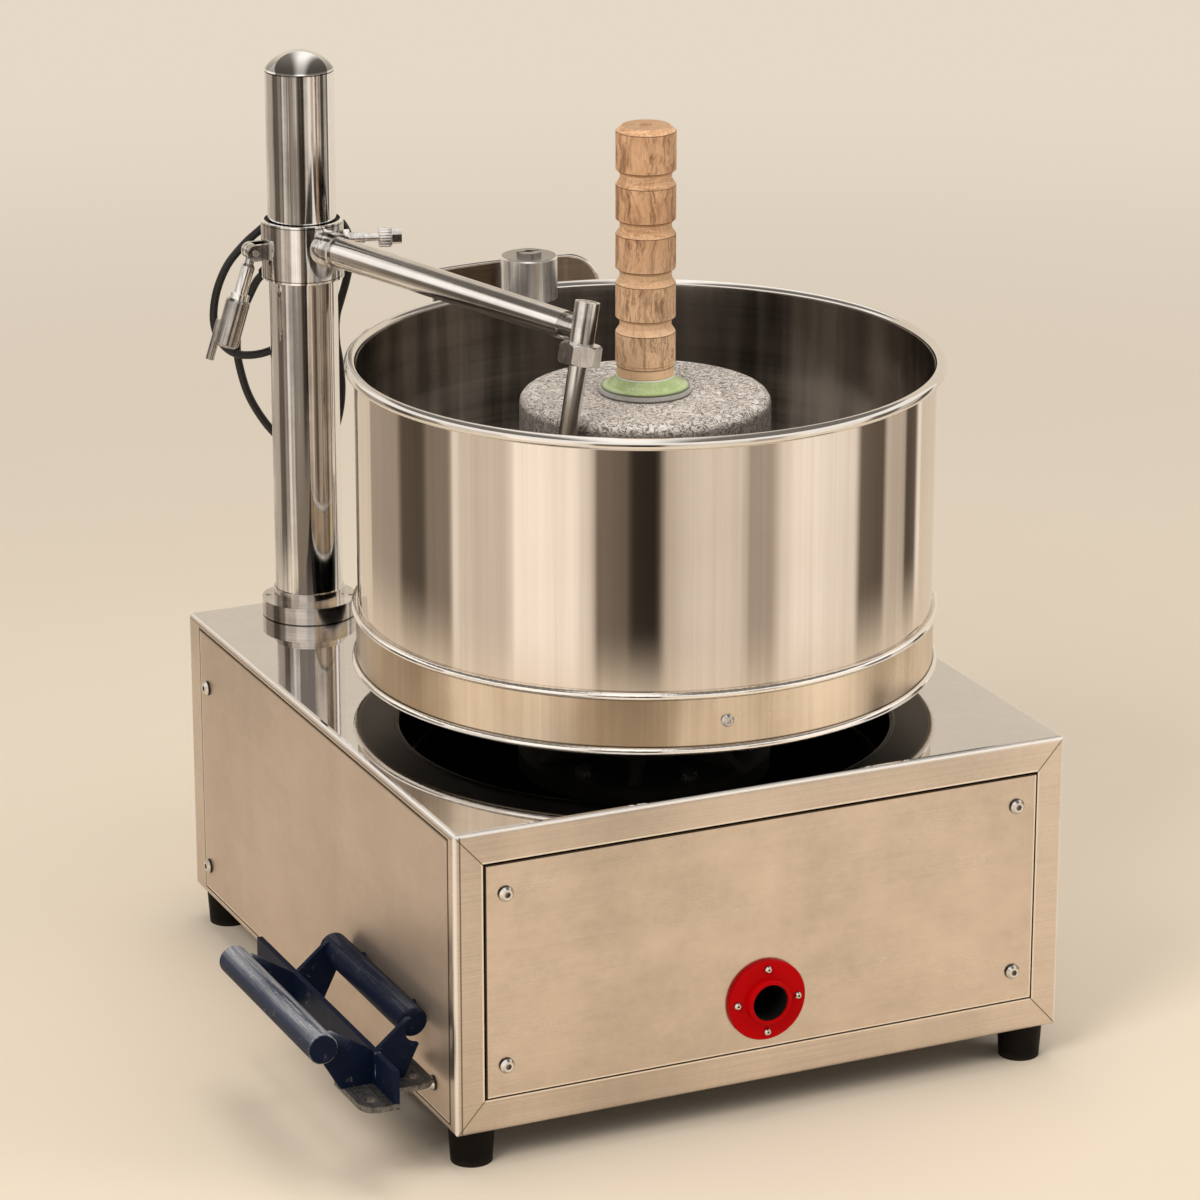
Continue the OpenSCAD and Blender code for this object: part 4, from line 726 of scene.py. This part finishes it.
def tube(path, radius, sides, up):
    """A circle carried along the path: at each point it lies across the heading and starts towards up."""
    heading = np.gradient(path, axis=0)
    heading /= np.linalg.norm(heading, axis=1)[:, None]
    side = up - heading * (heading @ up)[:, None]
    side /= np.linalg.norm(side, axis=1)[:, None]
    over = np.cross(heading, side)
    angle = np.linspace(0, 2 * np.pi, sides, endpoint=False)[None, :, None]
    rings = path[:, None, :] + radius * (np.cos(angle) * side[:, None, :] + np.sin(angle) * over[:, None, :])
    return rings.reshape(-1, 3)


def capped(quads, sides, total):
    """Grid faces as a list, with a flat face closing the first and the last ring."""
    return quads.tolist() + [list(range(sides))[::-1], list(range(total - sides, total))]


# The edge wire runs level along the guard's top, bends down round its corner and drops along its end.
edge_wire_r, wire_sides, corner_r, guard_drop = 0.0016, 16, 0.024, 0.060
top_steps, bend_steps, drop_steps = 60, 15, 12
guard_mid, guard_to_end, guard_to_start = 86.3, 13.5, 16.1
guard_a0, guard_a1 = math.radians(guard_mid - guard_to_end), math.radians(guard_mid + guard_to_start)
wire_mid = guard_r + guard_t / 2
corner_a = math.asin(corner_r / wire_mid)
corner_z = guard_high.z - corner_r
bend = np.linspace(0, np.pi / 2, bend_steps + 1)[1:]
wire_angle = np.concatenate([np.linspace(guard_a1, guard_a0 + corner_a, top_steps),
                             guard_a0 + np.arcsin((corner_r - corner_r * np.sin(bend)) / wire_mid),
                             np.full(drop_steps, guard_a0)])
wire_z = np.concatenate([np.full(top_steps, guard_high.z), corner_z + corner_r * np.cos(bend),
                         np.linspace(corner_z, guard_high.z - guard_drop, drop_steps + 1)[1:]])
wire_line = np.stack([axis_x + wire_mid * np.cos(wire_angle), axis_y + wire_mid * np.sin(wire_angle),
                      wire_z], -1)
outward = np.array([math.cos(guard_a0), math.sin(guard_a0), 0.0])
wire_points = tube(wire_line, edge_wire_r, wire_sides, outward)
wire_quads = capped(grid_quads(len(wire_line), wire_sides, True), wire_sides, len(wire_points))
guard_wire = mesh_piece("guard_edge_wire", wire_points, wire_quads, rim_steel)
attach(guard_wire, "base")


# Scraper rod.
# A ground steel rod with a blade at its foot, which slides through the end socket.
# A small plug with a centre hole tops the rod in the socket's bore.
rod_steel, shader, here = surface("ground_rod_steel", metallic=1.0)
grain = here.stretched((260, 260, 9)).noise(1.0, 3.0, 0.6)
cloud = here.noise(30.0, 4.0)
(grain * 0.5 + cloud * 0.5).tint((0.62, 0.59, 0.555), (0.84, 0.81, 0.775)).to(shader, "Base Color")
(0.14 + 0.10 * cloud).to(shader, "Roughness")
grain.relief(0.03, 0.0001).to(shader, "Normal")
dress(rod_steel, "scraper_rod", "scraper_blade")


def turned_profile(profile, foot, along, steps):
    """A profile of radius and height spun about a leaning axis that starts at foot and runs along."""
    side = np.cross(along, [0.0, 1.0, 0.0])
    side /= np.linalg.norm(side)
    other = np.cross(along, side)
    angle = np.linspace(0, 2 * np.pi, steps, endpoint=False)[None, :, None]
    radius, height = profile[:, :1, None], profile[:, 1:, None]
    return (foot + height * along + radius * (np.cos(angle) * side + np.sin(angle) * other)).reshape(-1, 3)


rod_lean = math.radians(11)
arm_across = np.array([-math.sin(arm_bearing), math.cos(arm_bearing), 0.0])
rod_along = arm_across * math.sin(rod_lean) + np.array([0.0, 0.0, math.cos(rod_lean)])
socket_at = np.array([-0.01625, -0.09368, 0.527])
end_profile = np.array([(6.5, 16.5), (6.5, 19.0), (6.3, 19.5), (5.8, 19.7), (2.4, 19.7), (1.8, 19.5),
                        (1.0, 18.8), (0.3, 18.6)]) / 1000
end_steps = 48
end_points = turned_profile(end_profile, socket_at, rod_along, end_steps)
end_quads = capped(grid_quads(len(end_profile), end_steps, True), end_steps, len(end_points))
rod_end = mesh_piece("rod_end_plug", end_points, end_quads, socket_steel)
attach(rod_end, "scraper")


# Cord.
# A limp black rubber lead of 6 mm, hung in a loop over the hook behind the sleeve.
# Both of its ends go into glands on the sleeve.
arm_z = sleeve_low.z + 0.026
cord_r, cord_turn = 0.003, math.radians(-24.6)
# The route gives millimetres across, behind and above the column's axis at the height of the arm.
route = np.array([
    (-31, 28, -32), (-36, 30, -38), (-41, 32, -48), (-47, 35, -62), (-51.5, 40, -78), (-53, 44.5, -94),
    (-51, 46, -110), (-46, 46, -128), (-38, 46, -144), (-27, 46, -159), (-13, 46, -171), (2, 46, -174),
    (14, 46, -166), (21, 46, -148), (24, 46, -127), (23, 46, -106), (20.5, 46, -87), (21, 46, -70),
    (25, 46, -55), (29, 46, -41), (32, 46, -24), (31, 45, -7), (23, 43.5, 6), (9, 42, 12.6),
    (-8, 41, 12.6), (-22, 40, 7), (-35, 38.5, -3), (-46, 37, -13), (-58, 36, -28), (-66, 36, -47),
    (-69, 36, -66), (-67, 36, -80), (-61, 36, -90), (-52, 36, -95.5), (-40, 36, -96), (-28, 36, -93),
    (-15, 36, -86), (-5, 35.5, -74), (-1, 35, -59), (0, 35, -44), (0, 35, -33)], float) / 1000
sideways = np.array([math.cos(cord_turn), math.sin(cord_turn), 0.0])
rearward = np.array([-math.sin(cord_turn), math.cos(cord_turn), 0.0])
route = (np.array([column_x, column_y, arm_z]) + route[:, :1] * sideways + route[:, 1:2] * rearward
         + route[:, 2:] * np.array([0.0, 0.0, 1.0]))


def smooth_path(points, steps):
    """A curve through all points: each span is a cubic through two of them, steered by their neighbours."""
    p = np.vstack([points[:1], points, points[-1:]])
    a, b, c, d = (p[k:len(p) - 3 + k, None, :] for k in range(4))
    t = (np.arange(steps) / steps)[None, :, None]
    spans = 0.5 * (2 * b + (c - a) * t + (2 * a - 5 * b + 4 * c - d) * t**2 + (3 * b - a - 3 * c + d) * t**3)
    return np.vstack([spans.reshape(-1, 3), points[-1:]])


span_steps, cord_sides = 5, 20
cord_line = smooth_path(route, span_steps)
cord_points = tube(cord_line, cord_r, cord_sides, rearward)
cord_quads = capped(grid_quads(len(cord_line), cord_sides, True), cord_sides, len(cord_points))
cord_rubber, shader, here = surface("cord_rubber", specular=0.45)
bloom = here.noise(90.0, 4.0)
bloom.tint((0.005, 0.005, 0.005), (0.015, 0.014, 0.013)).to(shader, "Base Color")
(0.32 + 0.2 * bloom).to(shader, "Roughness")
here.noise(1500.0, 2.0).relief(0.2, 0.0001).to(shader, "Normal")
lead = mesh_piece("hung_cord", cord_points, cord_quads, cord_rubber)
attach(lead, "arm")
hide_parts("cord")


# Set.
# A wide pale floor under a plain sky of the same tone; far out the floor shows that tone by itself.
# A soft key, a fill and a top light; a striped wall and a canopy stand where only metal mirrors them.
def looked_at(tree):
    """1 where a surface is seen, mirrored or looked through, 0 where it only passes light on."""
    blank = Field(tree, None)
    seen, mirrored, passing = (blank.make("ShaderNodeLightPath", {}, {}, kind) for kind in (
        "Is Camera Ray", "Is Glossy Ray", "Is Transmission Ray"))
    return seen.most(mirrored).most(passing)


yaw = math.radians(-24.612)
pale, unlit = (0.785, 0.69, 0.57), (0.0, 0.0, 0.0)
near_r, far_r = 0.5, 3.2
backdrop, shader, here = surface("pale_floor", roughness=0.55, specular=0.0)
x, y = here.axis(0) - axis_x, here.axis(1) - axis_y
far = (x * x + y * y).root().rise(near_r, far_r) * looked_at(backdrop.node_tree)
floor_colour = here.noise(2.0, 3.0).tint((0.80, 0.69, 0.555), (0.83, 0.72, 0.585))
far.tint(floor_colour, unlit).to(shader, "Base Color")
far.tint(unlit, pale).to(shader, "Emission Color")
shader.inputs["Emission Strength"].default_value = 1.0
# The floor is a flat square grid.
floor_half, floor_steps = 9, 37
spread = np.linspace(-floor_half, floor_half, floor_steps)
sheet = np.stack(np.broadcast_arrays(spread[None, :], spread[:, None], 0.0), -1).reshape(-1, 3)
floor = mesh_piece("floor_sheet", sheet, grid_quads(floor_steps, floor_steps, False), backdrop)

striped, shader, here = surface("striped_reflector", roughness=1.0, specular=0.0)
shader.inputs["Base Color"].default_value = (*unlit, 1)
shader.inputs["Emission Strength"].default_value = 1.0
camera_side, wall_span, wall_steps, wall_r, wall_h = -114.6, 128, 129, 0.95, 1.1
bearing = here.math("ARCTAN2", here.axis(1) - axis_y, here.axis(0) - axis_x)
turned_by = here.math("FLOORED_MODULO", bearing + math.radians(180 - camera_side), 2 * math.pi)
turned_by = turned_by / (2 * math.pi)
# Each strip gives degrees off the camera's side and a brightness; the dim ones are browner.
strips = [(-128, 0.42), (-105, 0.40), (-102, 0.12), (-89, 0.10), (-86, 0.26), (-75, 0.30), (-73, 0.98),
          (-69, 0.74), (-49.5, 0.78), (-46.5, 1.18), (-26, 1.10), (-19, 0.80), (-17, 0.22), (-7, 0.16),
          (-5, 0.04), (3, 0.03), (5, 0.10), (6.5, 0.62), (20, 0.84), (34, 0.80), (36.5, 0.45), (45, 0.5),
          (48, 0.8), (55, 1.08), (81, 0.95), (84, 0.18), (97, 0.12), (100, 0.66), (112, 0.52), (114, 0.10),
          (122, 0.14), (125, 0.95)]
warmed = [(0.5 + off / 360, (v, v * (0.78 + 0.12 * min(v, 1)), v * (0.58 + 0.21 * min(v, 1))))
          for off, v in strips]
upper = here.axis(2).rise(0.52, 0.66)
upper.tint(turned_by.ramp(warmed), (1.05, 1.0, 0.94)).to(shader, "Emission Color")
here.axis(2).rise(0.0, 0.10).to(shader, "Alpha")
# The wall is an arc of a standing cylinder round the drum's axis.
arc = np.radians(np.linspace(-wall_span, wall_span, wall_steps) + camera_side)[None, :]
wall_z = np.linspace(0.002, wall_h, 3)[:, None]
wall = np.broadcast_arrays(axis_x + wall_r * np.cos(arc), axis_y + wall_r * np.sin(arc), wall_z)
wall = np.stack(wall, -1).reshape(-1, 3)
reflector = mesh_piece("reflector", wall, grid_quads(3, wall_steps, False), striped)

canopy_dark, shader, here = surface("dark_canopy", roughness=1.0, specular=0.0)
shader.inputs["Base Color"].default_value = (*unlit, 1)
shader.inputs["Emission Strength"].default_value = 1.0
aside = (here.axis(0) - axis_x) * math.cos(yaw) + (here.axis(1) - axis_y) * math.sin(yaw)
overhead = 1 - abs(aside + 0.12).rise(0.08, 0.50)
overhead.tint((0.20, 0.18, 0.16), (1.2, 1.15, 1.09)).to(shader, "Emission Color")
# The canopy is the upper part of a sphere: level rings from 34 to 88 degrees up, closed at the crown.
canopy_r, canopy_mid, canopy_rows, canopy_steps = 1.5, 0.45, 12, 72
lift = np.radians(np.linspace(34, 88, canopy_rows))[:, None]
round_about = np.linspace(0, 2 * np.pi, canopy_steps, endpoint=False)[None, :]
level_r = canopy_r * np.cos(lift)
cap = np.broadcast_arrays(axis_x + level_r * np.cos(round_about), axis_y + level_r * np.sin(round_about),
                          canopy_mid + canopy_r * np.sin(lift))
crown_ring = list(range((canopy_rows - 1) * canopy_steps, canopy_rows * canopy_steps))
cap_quads = grid_quads(canopy_rows, canopy_steps, True).tolist() + [crown_ring]
canopy = mesh_piece("canopy", np.stack(cap, -1).reshape(-1, 3), cap_quads, canopy_dark)
for screen in (reflector, canopy):
    screen.visible_camera = screen.visible_diffuse = screen.visible_shadow = False
    screen.visible_transmission = False


def lamp(name, place, aim, size, power, colour):
    """A rectangular lamp at place, turned to face aim, that metal doesn't mirror."""
    light = bpy.data.lights.new(name, "AREA")
    light.shape, light.size, light.size_y = "RECTANGLE", size[0], size[1]
    light.energy, light.color = power, colour
    holder = bpy.data.objects.new(name, light)
    holder.location, holder.visible_glossy = place, False
    to_aim = np.array(aim) - np.array(place)
    flat = math.hypot(to_aim[0], to_aim[1])
    holder.rotation_euler = (math.atan2(flat, -to_aim[2]), 0, math.atan2(to_aim[1], to_aim[0]) - math.pi / 2)
    bpy.context.scene.collection.objects.link(holder)


lamp("key", (-2.4, -1.6, 2.6), (0, 0, 0.3), (1.4, 1.4), 62, (1.0, 0.96, 0.91))
lamp("fill", (2.6, -1.8, 1.8), (0, 0, 0.3), (1.6, 1.2), 26, (1.0, 0.97, 0.93))
lamp("top", (0.2, 0.1, 3.0), (0, 0, 0.2), (1.6, 1.6), 31, (1.0, 0.98, 0.95))

world = bpy.data.worlds.new("studio")
world.use_nodes = True
sky = world.node_tree.nodes["Background"]
backdrop_seen = looked_at(world.node_tree)
sky_light, sky_level = (0.80, 0.78, 0.75), 0.52
backdrop_seen.tint(sky_light, pale).to(sky, "Color")
(sky_level + (1 - sky_level) * backdrop_seen).to(sky, "Strength")
bpy.context.scene.world = world


# Camera.
# A long lens at the height and bearing of the photograph, with no shift and everything sharp.
camera = bpy.data.cameras.new("camera")
camera.lens, camera.sensor_width, camera.sensor_fit = 144.99, 36.0, "HORIZONTAL"
camera.clip_end = 50
to_left, to_front, eye_height, tilted_down = 1.37971, 2.93605, 1.39604, 18.5507
eye = bpy.data.objects.new("camera", camera)
eye.location = (axis_x - to_left, axis_y - to_front, eye_height)
eye.rotation_euler = (math.radians(90 - tilted_down), 0, yaw)
bpy.context.scene.collection.objects.link(eye)
bpy.context.scene.camera = eye
bpy.context.scene.view_settings.view_transform = "Standard"
